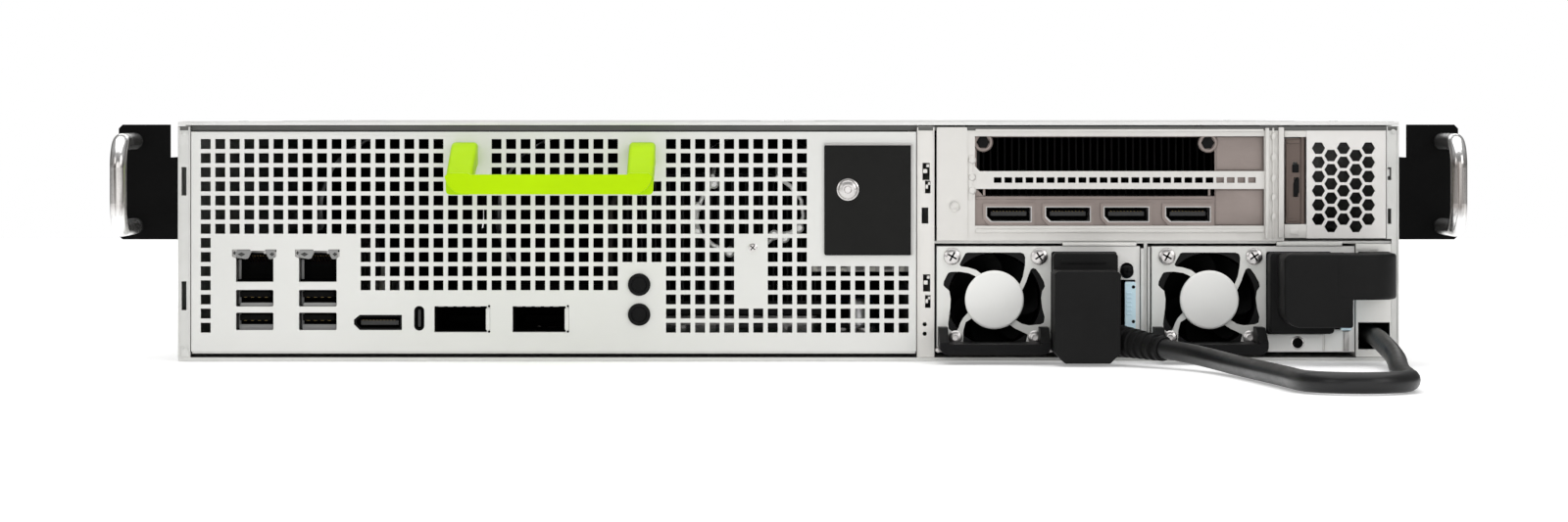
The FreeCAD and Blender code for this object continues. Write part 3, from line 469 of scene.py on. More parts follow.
    def done(self, name, body, mats, slot=None, replaces=(), angle=35):
        me = bpy.data.meshes.new(name)
        bmesh.ops.remove_doubles(self.bm, verts=self.bm.verts, dist=1e-7)
        self.bm.to_mesh(me)
        self.bm.free()
        for p in me.polygons:
            p.use_smooth = True
        me.set_sharp_from_angle(angle=math.radians(angle))
        for m in ([mats] if isinstance(mats, str) else mats):
            me.materials.append(MAT[m])
        o = bpy.data.objects.new(name, me)
        bpy.context.scene.collection.objects.link(o)
        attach(o, body)
        if replaces:
            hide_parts(*replaces)
        return o


def soften(node, width, seg=2, angle=40):
    """Eased edges on a CAD piece, as a modifier."""
    b = NODES[node].modifiers.new("ease", "BEVEL")
    b.width = width * MM
    b.segments = seg
    b.limit_method = "ANGLE"
    b.angle_limit = math.radians(angle)
    b.use_clamp_overlap = True
    return b


def ease(o, width, seg=2, angle=40):
    b = o.modifiers.new("ease", "BEVEL")
    b.width = width * MM
    b.segments = seg
    b.limit_method = "ANGLE"
    b.angle_limit = math.radians(angle)
    b.use_clamp_overlap = True
    return o


def screw_head(p, c, axis, r, h, kind="cross", mi=0, mi_recess_shade=1, sign=-1, turn=0.4):
    """Domed screw head standing out of c along axis by h, with a cross or hexalobular recess whose shade is painted in
    a second, black material: bars for a cross, a thin disc for a hexalobular one.
    """
    prof = [(0, 0), (r * 0.98, 0), (r, sign * h * 0.25), (r * 0.94, sign * h * 0.62), (r * 0.72, sign * h * 0.9), (r * 0.42, sign * h)]
    rec = r * (0.16 if kind == "cross" else 0.36)
    prof += [(rec + 0.01, sign * h), (rec, sign * h * 0.45), (0, sign * h * 0.4)]
    p.lathe(prof, c, axis, 28, mi)
    if kind == "cross":
        # black bars set flush into the dome: painted shade of the cross recess
        ax = {"x": Vector((1, 0, 0)), "y": Vector((0, 1, 0)), "z": Vector((0, 0, 1))}[axis]
        for k in range(2):
            w, L = r * 0.2, r * 1.16
            m = Matrix.Translation(Vector(c) * MM) @ Matrix.Rotation(turn + k * math.pi / 2, 4, ax) @ Matrix.Translation(-Vector(c) * MM)
            a, b = sorted((sign * h * 0.72, sign * h * 1.02))
            if axis == "y":
                p.box(c[0] - L / 2, c[0] + L / 2, c[1] + a, c[1] + b, c[2] - w / 2, c[2] + w / 2, mi=mi_recess_shade, m=m)
            elif axis == "z":
                p.box(c[0] - L / 2, c[0] + L / 2, c[1] - w / 2, c[1] + w / 2, c[2] + a, c[2] + b, mi=mi_recess_shade, m=m)
            else:
                p.box(c[0] + a, c[0] + b, c[1] - L / 2, c[1] + L / 2, c[2] - w / 2, c[2] + w / 2, mi=mi_recess_shade, m=m)
    else:
        # thin black disc in the hexalobular recess: painted shade
        p.cyl((c[0], c[1] + (sign * h * 0.8 if axis == "y" else 0), c[2] + (sign * h * 0.8 if axis == "z" else 0)), axis, rec, sign * 0.02, 12, 0, mi_recess_shade)
    return p


# ------------------------------------------------------------------ camera, floor, light

cam = bpy.data.cameras.new("camera")
cam.sensor_width = 36.0
cam.lens = 36.0 * 1600.0 / 565.0
cam.shift_y = -0.092
cam.dof.use_dof = False
co = bpy.data.objects.new("camera", cam)
co.location = (-0.0016, YF * MM - 1.6, 0.088)
co.rotation_euler = (math.radians(90), 0, 0)
bpy.context.scene.collection.objects.link(co)
bpy.context.scene.camera = co

fm = Nodes("floor_paper")
fm.set(Base_Color=fm.ramp(fm.noise(3, 2, 0.5), [(0.3, (0.9, 0.9, 0.9, 1)), (0.7, (0.92, 0.92, 0.92, 1))]), Roughness=0.9)
fm.p.inputs["Emission Color"].default_value = (1, 1, 1, 1)
fm.p.inputs["Emission Strength"].default_value = 0.3
fm.p.inputs["Specular IOR Level"].default_value = 0.1
bm = bmesh.new()
bmesh.ops.create_grid(bm, x_segments=4, y_segments=4, size=1.9)
me = bpy.data.meshes.new("floor")
bm.to_mesh(me)
bm.free()
me.materials.append(fm.m)
floor = bpy.data.objects.new("floor", me)
floor.location = (0, -0.5, -0.0003)
bpy.context.scene.collection.objects.link(floor)


def area(name, loc, target, size, power, color=(1, 1, 1)):
    l = bpy.data.lights.new(name, "AREA")
    l.shape = "RECTANGLE"
    l.size, l.size_y = size
    l.energy = power
    l.color = color
    o = bpy.data.objects.new(name, l)
    o.location = loc
    o.rotation_euler = (Vector(target) - Vector(loc)).to_track_quat("-Z", "Y").to_euler()
    bpy.context.scene.collection.objects.link(o)
    return o


area("key_right", (1.9, -2.0, 1.1), (0.1, -0.2, 0.05), (1.0, 1.2), 12)
area("fill_left", (-2.0, -2.2, 1.0), (0, -0.2, 0.05), (1.0, 1.0), 6)
area("top", (0, 0.0, 3.0), (0, 0, 0), (4.5, 4.5), 108)
area("front", (0.3, -3.3, 0.55), (0.05, -0.2, 0.04), (3.2, 1.0), 15.5)
area("back", (0, 2.6, 1.2), (0, 0.2, 0.05), (2.0, 1.0), 8)

# studio surroundings: pale above, broken into light and dark walls round the sides so that bright metal has edges
world = bpy.data.worlds.new("studio")
world.use_nodes = True
bpy.context.scene.world = world
wt = world.node_tree
wt.nodes.clear()
wo = wt.nodes.new("ShaderNodeOutputWorld")
mixw = wt.nodes.new("ShaderNodeMixShader")
lp = wt.nodes.new("ShaderNodeLightPath")
b_light = wt.nodes.new("ShaderNodeBackground")
b_seen = wt.nodes.new("ShaderNodeBackground")
wc = wt.nodes.new("ShaderNodeTexCoord")
ws = wt.nodes.new("ShaderNodeSeparateXYZ")
wt.links.new(wc.outputs["Generated"], ws.inputs[0])
wm = wt.nodes.new("ShaderNodeMapRange")
wm.inputs["From Min"].default_value = -1.0
wm.inputs["From Max"].default_value = 1.0
wt.links.new(ws.outputs[1], wm.inputs["Value"])
wr = wt.nodes.new("ShaderNodeValToRGB")
stops = [(0.0, 0.55), (0.02, 0.6), (0.035, 0.16), (0.07, 0.2), (0.1, 0.6), (0.2, 0.5), (0.35, 0.36), (0.6, 0.3), (0.85, 0.24), (0.97, 0.16), (1.0, 0.5)]
while len(wr.color_ramp.elements) < len(stops):
    wr.color_ramp.elements.new(0.5)
for e, (pos, v) in zip(wr.color_ramp.elements, stops):
    e.position = pos
    e.color = (v, v * 0.985, v * 0.97, 1)
wt.links.new(wm.outputs[0], wr.inputs[0])
wu = wt.nodes.new("ShaderNodeMapRange")
wu.inputs["From Min"].default_value = 0.25
wu.inputs["From Max"].default_value = 0.6
wt.links.new(ws.outputs[2], wu.inputs["Value"])
wx = wt.nodes.new("ShaderNodeMix")
wx.data_type = "RGBA"
wt.links.new(wu.outputs[0], wx.inputs["Factor"])
wt.links.new(wr.outputs[0], [i for i in wx.inputs if i.name == "A" and i.type == "RGBA"][0])
[i for i in wx.inputs if i.name == "B" and i.type == "RGBA"][0].default_value = (0.45, 0.45, 0.45, 1)
wt.links.new([o for o in wx.outputs if o.type == "RGBA"][0], b_light.inputs["Color"])
b_light.inputs["Strength"].default_value = 0.66
b_seen.inputs["Color"].default_value = (1, 1, 1, 1)
b_seen.inputs["Strength"].default_value = 1.0
wt.links.new(lp.outputs["Is Camera Ray"], mixw.inputs[0])
wt.links.new(b_light.outputs[0], mixw.inputs[1])
wt.links.new(b_seen.outputs[0], mixw.inputs[2])
wt.links.new(mixw.outputs[0], wo.inputs[0])
vs = bpy.context.scene.view_settings
vs.view_transform = "Standard"
vs.look = "None"
vs.exposure = 0.0

# ------------------------------------------------------------------ lead 1: cord, plug and relief

ROUTE = [
    (131.5, 42.0, 6.6), (140.6, 54.6, 5.4), (147.4, 73.0, 4.3), (151.8, 93.0, 3.7), (155.1, 113.0, 3.6), (157.9, 132.0, 3.6),
    (160.4, 149.0, 3.6), (162.5, 165.2, 3.6), (164.0, 180.7, 3.6), (168.7, 188.8, 3.6), (176.8, 193.5, 3.6), (186.2, 193.5, 3.6),
    (194.3, 188.8, 3.6), (199.0, 180.7, 3.6), (200.0, 162.5, 3.6), (201.9, 134.0, 3.6), (205.4, 104.0, 3.6), (209.0, 76.0, 3.6),
    (211.3, 52.0, 4.6), (211.8, 28.0, 6.4), (211.3, 4.0, 9.0), (211.3, -18.0, 9.0)]
ROUTE = [Vector((x, YF - d, z)) * MM for x, d, z in ROUTE]
cu = bpy.data.curves.new("lead_cord", "CURVE")
cu.dimensions = "3D"
cu.resolution_u = 12
cu.bevel_depth = 3.5 * MM
cu.bevel_resolution = 6
cu.use_fill_caps = True
sp = cu.splines.new("NURBS")
sp.points.add(len(ROUTE) - 1)
for p, v in zip(sp.points, ROUTE):
    p.co = (v.x, v.y, v.z, 1)
sp.order_u = 3
sp.use_endpoint_u = True
cu.materials.append(MAT["cord"])
cord = bpy.data.objects.new("lead_cord", cu)
bpy.context.scene.collection.objects.link(cord)
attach(cord, "lead_1")
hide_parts("cord_1")


def moulded_block(p, pts, y0, y1, r, mi=0):
    p.prism(pts, y0, y1, r, 4, mi)


def nose_piece(p, X0):
    """Connector end that sits in the inlet, with its three pin slots."""
    outer = rr(X0 + 45.2, X0 + 60.8, 12.6, 36.4, 1.6, 4)
    holes = [rr(X0 + 51.8, X0 + 54.2, 21.9, 27.1, 0.3, 1), rr(X0 + 47.6, X0 + 50.0, 14.9, 20.1, 0.3, 1), rr(X0 + 47.6, X0 + 50.0, 28.9, 34.1, 0.3, 1)]
    p.plate(outer, holes, YF + 1.0, YF + 15.5)
    p.prism(outer, YF - 2.0, YF + 1.0)


X1, X2 = PSU
p = Piece()
body = [(93.9, 4.6), (97.6, 0.8), (113.6, 0.8), (117.3, 4.6), (117.3, 32.4), (116.2, 33.5), (95.0, 33.5), (93.9, 32.4)]
p.prism(body, YF - 34, YF - 9.2, 1.5, 4)
p.prism(rr(94.9, 117.9, 10.2, 39.2, 1.4, 4), YF - 11.8, YF - 1.0, 0.7, 3)
p.prism(rr(97.4, 113.8, 35.4, 36.9, 0.7, 3), YF - 12.2, YF - 11.6, 0.25, 2)      # finger line on the step
nose_piece(p, X1)
plug1 = p.done("lead_plug", "lead_1", "rubber", "lead_rubber", ["plug_1"])

# tapered strain relief with moulded rings, in line with the cord's first run
d1 = (ROUTE[1] - ROUTE[0]).normalized()
rot = Vector((0, 0, 1)).rotation_difference(d1).to_matrix().to_4x4()
start = ROUTE[0] - d1 * 34 * MM
prof = [(0, -2.0), (6.3, -2.0), (6.4, 3.0)]
for k in range(7):
    s = 6.0 + k * 3.7
    r = 6.2 - 1.9 * s / 34
    prof += [(r, s), (r, s + 1.9), (r - 0.75, s + 2.2), (r - 0.8, s + 3.2)]
prof += [(4.5, 32.6), (4.45, 34.0), (3.9, 34.6), (0, 34.6)]
p = Piece()
p.lathe(prof, (0, 0, 0), "z", 36, 0, Matrix.Translation(start) @ rot)
relief = p.done("lead_strain_relief", "lead_1", "rubber", "lead_rubber")

# ------------------------------------------------------------------ lead 2: side-exit plug

p = Piece()
out = rr(174.9, 199.3, 13.4, 39.5, 1.4, 4)
big = []
for k in range(9):
    a = math.radians(180 + 90 * k / 8)
    big.append((174.9 + 6.2 + 6.2 * math.cos(a), 13.4 + 6.2 + 6.2 * math.sin(a)))
body2 = [(199.3, 39.5), (176.6, 39.5), (174.9, 37.8)] + big + [(199.3, 13.4)]
p.prism(body2, YF - 34, YF - 11, 1.3, 4)
p.prism(rr(172.4, 195.3, 10.3, 39.2, 1.4, 4), YF - 11.8, YF - 1.0, 0.7, 3)
arm = [(193.0, YF - 34.04), (202.4, YF - 34.04)]
for k in range(1, 13):
    a = math.radians(-90 + 90 * k / 12)
    arm.append((202.4 + 13.7 * math.cos(a), YF - 20.34 + 13.7 * math.sin(a)))
arm += [(216.0, YF + 10), (206.6, YF + 10), (206.6, YF - 8.6)]
arm += [(204.8, YF - 10.6), (202.0, YF - 11.9), (193.0, YF - 12.4)]
p.prism(arm, 23.3, 39.42, 1.2, 4, 0, "z")
nose_piece(p, X2)
p.done("angled_plug", "psu_2", "rubber", "lead_rubber", ["plug_2"])

# ------------------------------------------------------------------ lime pull handle

GX0, GX1 = -121.3, -47.9


def loft(p, frames, mi=0):
    """Skin through closed sections: frames are lists of points in millimetres, same count."""
    t = bmesh.new()
    rings = [[t.verts.new(Vector(q) * MM) for q in f] for f in frames]
    n = len(rings[0])
    for a, b in zip(rings, rings[1:]):
        for k in range(n):
            j = (k + 1) % n
            t.faces.new((a[k], a[j], b[j], b[k]))
    t.faces.new(rings[0])
    t.faces.new(rings[-1])
    p._take(t, mi)


GM = (GX0 + GX1) / 2
p = Piece()
for s in (-1, 1):
    # leg: from the panel, sloping out and down
    secs = []
    for t in (0.0, 0.06, 0.2, 0.4, 0.6, 0.8, 1.0):
        y = YF - 29.0 * t
        zc, hh = 74.1 - 9.9 * max(t - 0.1, 0) / 0.9, 4.7 - 0.9 * t
        secs.append([(GM + s * (32.0 + a), y, zc + b) for a, b in rr(-4.7, 4.7, -hh, hh, 1.5, 4)])
    if s < 0:
        secs = [q[::-1] for q in secs]
    loft(p, secs)
# bar: front-view outline with rounded lower outer corners, eased all round
bar = [(GX1, 67.0), (GX1 - 1.4, 68.1), (GX1 - 8.0, 68.1), (GX1 - 9.3, 67.6), (GX0 + 9.3, 67.6), (GX0 + 8.0, 68.1), (GX0 + 1.4, 68.1), (GX0, 67.0)]
for k in range(9):
    a = math.radians(180 + 90 * k / 8)
    bar.append((GX0 + 7.3 + 7.3 * math.cos(a), 60.65 + 7.3 + 7.3 * math.sin(a)))
for k in range(9):
    a = math.radians(270 + 90 * k / 8)
    bar.append((GX1 - 7.3 + 7.3 * math.cos(a), 60.65 + 7.3 + 7.3 * math.sin(a)))
bar = bar[:8] + bar[9:-1]
p.prism(bar, YF - 36.0, YF - 27.4, 1.5, 4)
grip = p.done("pull_grip", "io_tray", "lime", "lime_plastic", ["pull_handle"], 30)

# ------------------------------------------------------------------ fans


def blades(p, c, r0, r1, y0, y1, n, wrap, thick=1.1, sweep=10.0, nr=6, nc=8, mi=0, hand=1, lean=0.0):
    """Swept, cambered fan blades round the Y axis."""
    for k in range(n):
        base = 2 * math.pi * k / n
        t = bmesh.new()
        rows = []
        for side in (0, 1):
            grid = []
            for i in range(nr + 1):
                u = i / nr
                r = r0 + (r1 - r0) * u
                row = []
                for j in range(nc + 1):
                    v = j / nc
                    span = math.radians(wrap) * (1.0 - 0.08 * u)
                    ang = base + hand * (span * (v - 0.5) + math.radians(sweep) * u * u)
                    y = y0 + (y1 - y0) * (0.06 + 0.88 * (v ** (1.15 - 0.25 * u)))
                    y += (-thick / 2 if side == 0 else thick / 2) * math.sin(math.pi * min(max(v, 0.06), 0.94)) ** 0.5
                    row.append(t.verts.new(Vector((c[0] + r * math.cos(ang), y, c[1] + r * math.sin(ang))) * MM))
                grid.append(row)
            rows.append(grid)
        A, B = rows
        for i in range(nr):
            for j in range(nc):
                t.faces.new((A[i][j], A[i + 1][j], A[i + 1][j + 1], A[i][j + 1]))
                t.faces.new((B[i][j + 1], B[i + 1][j + 1], B[i + 1][j], B[i][j]))
        for i in range(nr):
            t.faces.new((A[i][0], B[i][0], B[i + 1][0], A[i + 1][0]))
            t.faces.new((A[i + 1][nc], B[i + 1][nc], B[i][nc], A[i][nc]))
        for j in range(nc):
            t.faces.new((A[0][j + 1], B[0][j + 1], B[0][j], A[0][j]))
            t.faces.new((A[nr][j], B[nr][j], B[nr][j + 1], A[nr][j + 1]))
        p._take(t, mi)


for n, X0 in enumerate(PSU):
    cx, cz = X0 + FAN_C[0], FAN_C[1]
    p = Piece()
    p.lathe([(0, 3.5), (8.6, 3.5), (9.5, 4.4), (9.6, 6), (9.6, 24.0), (0, 24.0)], (cx, YF, cz), "y", 40)
    blades(p, (cx, cz), 9.0, 16.2, YF + 5.0, YF + 18.5, 7, 62, 0.9, 16, 5, 6)
    p.done("supply_%d_impeller" % (n + 1), "psu_%d_fan" % (n + 1), "fan", "black_plastic", ["psu_%d_fan_rotor" % (n + 1)])
for n, x in enumerate((-175.6, -94.1, -12.6, 68.9)):
    p = Piece()
    p.lathe([(0, 2), (14.5, 2), (17.0, 3.6), (17.5, 6), (17.5, 29.4), (16.2, 30.0), (15.8, 29.2), (0, 29.2)], (x, YR - 38, 42.9), "y", 48)
    blades(p, (x, 42.9), 16.8, 37.1, YR - 36.6, YR - 9.0, 7, 63, 1.5, 14, 7, 8)
    p.done("chassis_impeller_%d" % (n + 1), "chassis_fan_%d" % (n + 1), "fan", "black_plastic", ["chassis_fan_rotor_%d" % (n + 1)])

# ------------------------------------------------------------------ power supply fronts

for n, X0 in enumerate(PSU):
    tag = "supply_%d_" % (n + 1)
    body = "psu_%d" % (n + 1)
    cx, cz = X0 + FAN_C[0], FAN_C[1]
    # pierced guard plate: four swept openings that leave thin curved ribs to the hub
    def hub_arc(a0, a1, r=9.6, n=7):
        return [(r * math.cos(math.radians(a0 + (a1 - a0) * k / n)), r * math.sin(math.radians(a0 + (a1 - a0) * k / n))) for k in range(n + 1)]

    cut_top = [(-9.6, 17.0), (9.5, 17.0), (10.7, 16.5), (11.2, 15.2), (11.05, 12.0), (10.35, 8.3), (9.4, 5.9)] + hub_arc(29, 114) + \
        [(-6.5, 10.7), (-9.3, 11.6), (-12.0, 12.0), (-12.5, 12.6), (-12.2, 13.4), (-11.1, 15.4), (-10.4, 16.7)]
    cut_left = [(-17.0, 8.9), (-16.5, 9.7), (-15.6, 10.0), (-12.6, 10.1), (-9.3, 9.6), (-7.0, 8.6)] + hub_arc(129, 204) + \
        [(-9.6, -4.9), (-11.1, -6.5), (-12.2, -8.4), (-12.9, -10.3), (-13.5, -11.3), (-15.2, -11.5), (-16.4, -10.6), (-16.6, -8.7), (-15.85, -3.0),
         (-15.7, 0.2), (-16.2, 3.2), (-17.6, 4.4), (-18.3, 5.2), (-18.2, 6.5)]
    cut_right = [(13.9, 11.4), (15.0, 11.1), (16.6, 8.9), (18.0, 6.3), (18.3, 4.7), (17.3, 3.1), (16.9, 0.6), (17.3, -3.0), (18.2, -6.3), (17.9, -8.3),
                 (16.8, -8.9), (12.6, -9.3), (10.0, -8.7), (8.2, -7.6)] + hub_arc(-47, 20) + [(10.2, 3.6), (11.6, 6.7), (12.5, 9.3), (13.2, 10.9)]
    cut_low = [(-8.0, -6.7), (-10.3, -8.1), (-11.1, -11.1), (-11.3, -15.3), (-10.9, -16.4), (11.0, -16.4), (11.4, -15.3), (12.1, -12.6),
               (10.1, -11.6), (7.7, -10.5), (5.6, -9.1)] + hub_arc(-60, -138)
    holes = [[(cx + a, cz + b) for a, b in h] for h in (cut_top, cut_left, cut_right, cut_low)]
    p = Piece()
    p.plate(rr(X0 + 0.05, X0 + 41.25, 3.25, 41.25, 0.8, 3), holes, YF - 0.5, YF + 1.0)
    ease(p.done(tag + "guard", body, "guard", "guard_white", ["psu_%d_fan_guard" % (n + 1)], 30), 0.22, 2)
    # black fan frame behind it
    p = Piece()
    p.plate(rr(X0 + 1.5, X0 + 40.1, 4.7, 39.9, 1.2, 3), [ring(cx, cz, 16.9, 56)], YF + 1.02, YF + 28)
    p.done(tag + "fan_frame", body, "fan", "black_plastic")
    # hub disc
    p = Piece()
    p.lathe([(0, 0.3), (10.55, 0.3), (10.6, -0.6), (10.45, -0.95), (10.2, -1.12), (9.9, -1.18), (9.6, -1.2), (9.3, -1.2), (0, -1.2)], (cx, YF - 0.5, cz), "y", 64)
    p.done(tag + "hub_disc", body, "disc", "guard_white")
    # two cross-recess screws above, two rivet bosses below
    p = Piece()
    screw_head(p, (cx - 15.2, YF - 0.5, cz + 15.6), "y", 3.1, 1.5, turn=0.5)
    screw_head(p, (cx + 16.2, YF - 0.5, cz + 15.6), "y", 3.1, 1.5, turn=1.0)
    for dx, dz in ((-14.0, -13.6), (14.6, -13.6)):
        p.lathe([(0, 0), (2.5, 0), (2.5, -0.5), (2.0, -0.9), (1.1, -1.0), (1.0, -0.5), (0, -0.45)], (cx + dx, YF - 0.5, cz + dz), "y", 24)
        p.box(cx + dx - 1.9, cx + dx + 1.9, YF - 1.2, YF - 0.4, cz + dz - 2.9, cz + dz - 1.2, 0.2)
    p.done(tag + "guard_screws", body, ["screw", "plastic"], "fastener_steel")
    # rivets at the foot of the scoop, black screw over the latch
    p = Piece()
    for x in (X0 + 0.55, X0 + 40.9):
        p.lathe([(0, 1.0), (1.15, 1.0), (1.15, -0.6), (0.9, -1.1), (0.4, -1.3), (0, -1.3)], (x, YF, 4.0), "y", 20)
    p.done(tag + "rivets", body, "screw", "fastener_steel")
    p = Piece()
    screw_head(p, (X0 + 68.6, YF + 1.0, 32.2), "y", 2.45, 2.2, turn=0.2, mi=0, mi_recess_shade=1)
    p.done(tag + "black_screw", body, ["plastic", "matt_black_and_shade"], "black_plastic")
    # moulding marks on the thumb pad
    p = Piece()
    for z in (27.0, 14.6):
        p.cyl((X0 + 70.2, YF - 8.8, z), "y", 0.62, -0.35, 14, 0.1)
    for k in range(6):
        z = 17.0 + k * 1.5
        p.box(X0 + 67.7, X0 + 69.6, YF - 9.35, YF - 8.95, z, z + 0.55, 0.12, 1, 1)
    p.done(tag + "latch_marks", "psu_%d_latch" % (n + 1), ["plastic", "latch"], "latch_blue")
    # pins of the inlet behind the plug stay as they are; lip round the inlet
    p = Piece()
    p.plate(rr(X0 + 41.6, X0 + 64.6, 9.9, 39.2, 1.2, 3), [rr(X0 + 44.2, X0 + 61.8, 11.6, 37.4, 1.4, 3)], YF - 0.95, YF - 0.55)
    p.done(tag + "inlet_lip", body, "plastic", "black_plastic")

for n in (1, 2):
    soften("psu_%d_handle" % n, 0.6, 3)
    soften("psu_%d_release_latch" % n, 0.3, 2)

# supply 2: seam and pale pull tab low on its face
p = Piece()
p.box(PSU[1] + 42.0, PSU[1] + 61.6, YF + 0.35, YF + 1.0, 3.5, 9.5, 0.15)
p.cyl((PSU[1] + 52.7, YF + 0.5, 6.46), "y", 2.45, -0.25, 28, 0.1, 1)
p.cyl((PSU[1] + 52.7, YF + 0.24, 6.46), "y", 1.9, -0.1, 28, 0.0, 2)
p.done("supply_2_label_plate", "psu_2", ["disc", "screw", "matt_black_and_shade"], "psu_steel")
p = Piece()
p.prism([(193.3, 3.5), (199.6, 3.5), (199.6, 11.3), (195.2, 11.3), (193.3, 9.6)], YF + 0.1, YF + 1.0, 0.2)
p.box(200.2, 202.0, YF + 0.3, YF + 1.0, 3.5, 10.6, 0.2, 2, 1)
p.done("supply_2_pull_tab", "psu_2", ["disc", "shell"], "psu_steel")

# ------------------------------------------------------------------ port tray front

JACK_X = ((-199.1, -185.6), (-176.4, -162.8))
for n, (x0, x1) in enumerate(JACK_X):
    xm = (x0 + x1) / 2
    p = Piece()
    # matt black behind the metal mouths: the network jack's black plastic body and the back plates are real, the black
    # on the metal walls of the two lower openings is painted shade
    p.box(x0 + 0.05, x1 - 0.05, YF + 14.6, YF + 14.95, 28.6, 38.5)
    for z0, z1, d in ((28.5, 38.6, 14.6), (19.6, 25.6, 12.6), (11.1, 17.4, 12.6)):
        p.box(x0 + 0.02, x0 + 0.3, YF + 5.5, YF + d, z0 + 0.05, z1 - 0.05)
        p.box(x1 - 0.3, x1 - 0.02, YF + 1.6, YF + d, z0 + 0.05, z1 - 0.05)
        p.box(x0 + 0.3, x1 - 0.3, YF + 2.4, YF + d, z0 + 0.02, z0 + 0.3)
        p.box(x0 + 0.3, x0 + 3.5 if z0 > 28 else x1 - 0.3, YF + 1.8, YF + d, z1 - 0.3, z1 - 0.02)
        if z0 > 28:
            p.box(x1 - 3.5, x1 - 0.3, YF + 1.8, YF + d, z1 - 0.3, z1 - 0.02)
    for z0, z1 in ((19.6, 25.6), (11.1, 17.4)):
        p.box(x0 + 0.05, x1 - 0.05, YF + 12.6, YF + 12.95, z0 + 0.05, z1 - 0.05)
    # tongues with their contacts
    for z0, z1 in ((23.0, 24.8), (14.6, 16.4)):
        p.box(x0 + 1.1, x1 - 1.1, YF + 2.8, YF + 12.8, z0 - 0.12, z1 + 0.12, 0.15)
        for k in range(4):
            xx = x0 + 3.0 + k * (x1 - x0 - 6.0) / 3
            p.box(xx - 0.5, xx + 0.5, YF + 3.6, YF + 12.0, z0 - 0.24, z0 - 0.08, 0, 1, 1)
    for k in range(8):
        xx = xm - 3.57 + k * 1.02
        p.box(xx - 0.17, xx + 0.17, YF + 5.0, YF + 14.0, 0, 0.3, 0, 1, 1,
              Matrix.Translation(Vector((0, 0, 37.6 * MM))) @ Matrix.Translation(Vector((0, (YF + 5) * MM, 0))) @ Matrix.Rotation(math.radians(-16), 4, "X") @ Matrix.Translation(Vector((0, -(YF + 5) * MM, 0))))
    p.done("jack_black_and_shade_%d" % (n + 1), "io_tray", ["matt_black_and_shade", "gold"], "jack_metal")
    # tin mouth of the network jack: a shoulder on each side of the tab's notch, with a small indicator window in each
    p = Piece()
    left = [(0.3, 40.1), (5.4, 40.1), (5.75, 39.6), (4.85, 37.9), (4.45, 36.95), (3.4, 36.65), (2.05, 36.9), (0.3, 37.1), (-0.2, 38.0), (-0.9, 38.3), (-0.9, 39.4), (0.1, 39.3)]
    right = [(10.5, 40.1), (14.5, 40.1), (14.5, 39.5), (13.6, 39.2), (13.9, 37.5), (13.4, 36.75), (11.9, 36.6), (11.2, 37.8), (10.7, 39.0)]
    for q in (left, right):
        p.prism([(x0 + a, b) for a, b in q], YF + 0.7, YF + 1.28, 0.1, 1, 0)
    # the two inner diamonds are the indicator windows; the two outer ones at the mouth's top corners are painted shade
    for a, b, w, h in ((1.9, 38.4, 1.45, 0.75), (12.9, 38.4, 0.85, 0.75), (-0.6, 38.9, 0.5, 0.75), (14.3, 39.6, 0.4, 0.5)):
        p.prism([(x0 + a - w, b), (x0 + a, b - h), (x0 + a + w, b), (x0 + a, b + h)], YF + 0.6, YF + 0.8, 0.05, 1, 1)
    # sprung side leaf of each opening, and the folded lower lip of the lower two
    for z0, z1 in ((29.3, 36.5), (19.9, 25.3), (11.4, 17.1)):
        p.box(x0 + 0.35, x0 + 1.35, YF + 5.0, YF + 6.0, z0, z1, 0.15, 2, 2)
    p.prism([(x0 + 1.3, 19.62), (x1 - 0.25, 19.62), (x1 - 0.25, 20.7), (x1 - 0.8, 20.95), (x0 + 1.6, 20.95)], YF + 1.4, YF + 2.6, 0.2, 2, 0)
    p.plate(rr(x0 + 1.2, x1 - 0.2, 11.14, 13.1, 0.3, 2), [rr(x0 + 1.7, x1 - 0.7, 11.9, 12.7, 0.15, 2)], YF + 1.4, YF + 2.4, 2)
    p.box(x0 + 1.7, x1 - 0.7, YF + 2.0, YF + 2.6, 11.8, 12.8, 0, 1, 0)
    p.done("jack_mouth_%d" % (n + 1), "io_tray", ["mouth", "lens", "wall"], "jack_metal")

p = Piece()
# display jack: metal rim, black tongue
dp = [(-156.5, 13.2), (-154.5, 11.2), (-139.4, 11.2), (-139.4, 16.5), (-154.5, 16.5), (-156.5, 14.9)]
dpi = [(-155.8, 13.4), (-154.2, 11.8), (-140.0, 11.8), (-140.0, 15.9), (-154.2, 15.9), (-155.8, 14.7)]
p.plate(dp, [dpi], YF + 0.9, YF + 8.0, 4)
p.prism(dpi, YF + 7.8, YF + 9.6, 0, 1, 1)
p.box(-154.2, -140.6, YF + 2.0, YF + 10, 12.9, 14.55, 0.15, 2, 5)
for k in range(10):
    p.box(-153.6 + k * 1.25, -153.2 + k * 1.25, YF + 2.2, YF + 9, 14.5, 14.66, 0, 1, 2)
# small reversible jack
p.plate(rr(-134.8, -131.3, 11.0, 19.7, 1.7, 6), [rr(-134.35, -131.75, 11.45, 19.25, 1.28, 6)], YF + 0.9, YF + 6.0, 4)
p.prism(rr(-134.3, -131.8, 11.5, 19.2, 1.2, 5), YF + 5.6, YF + 7.0, 0, 1, 1)
p.prism(rr(-133.55, -132.55, 12.2, 18.5, 0.35, 3), YF + 1.4, YF + 7.0, 0, 1, 5)
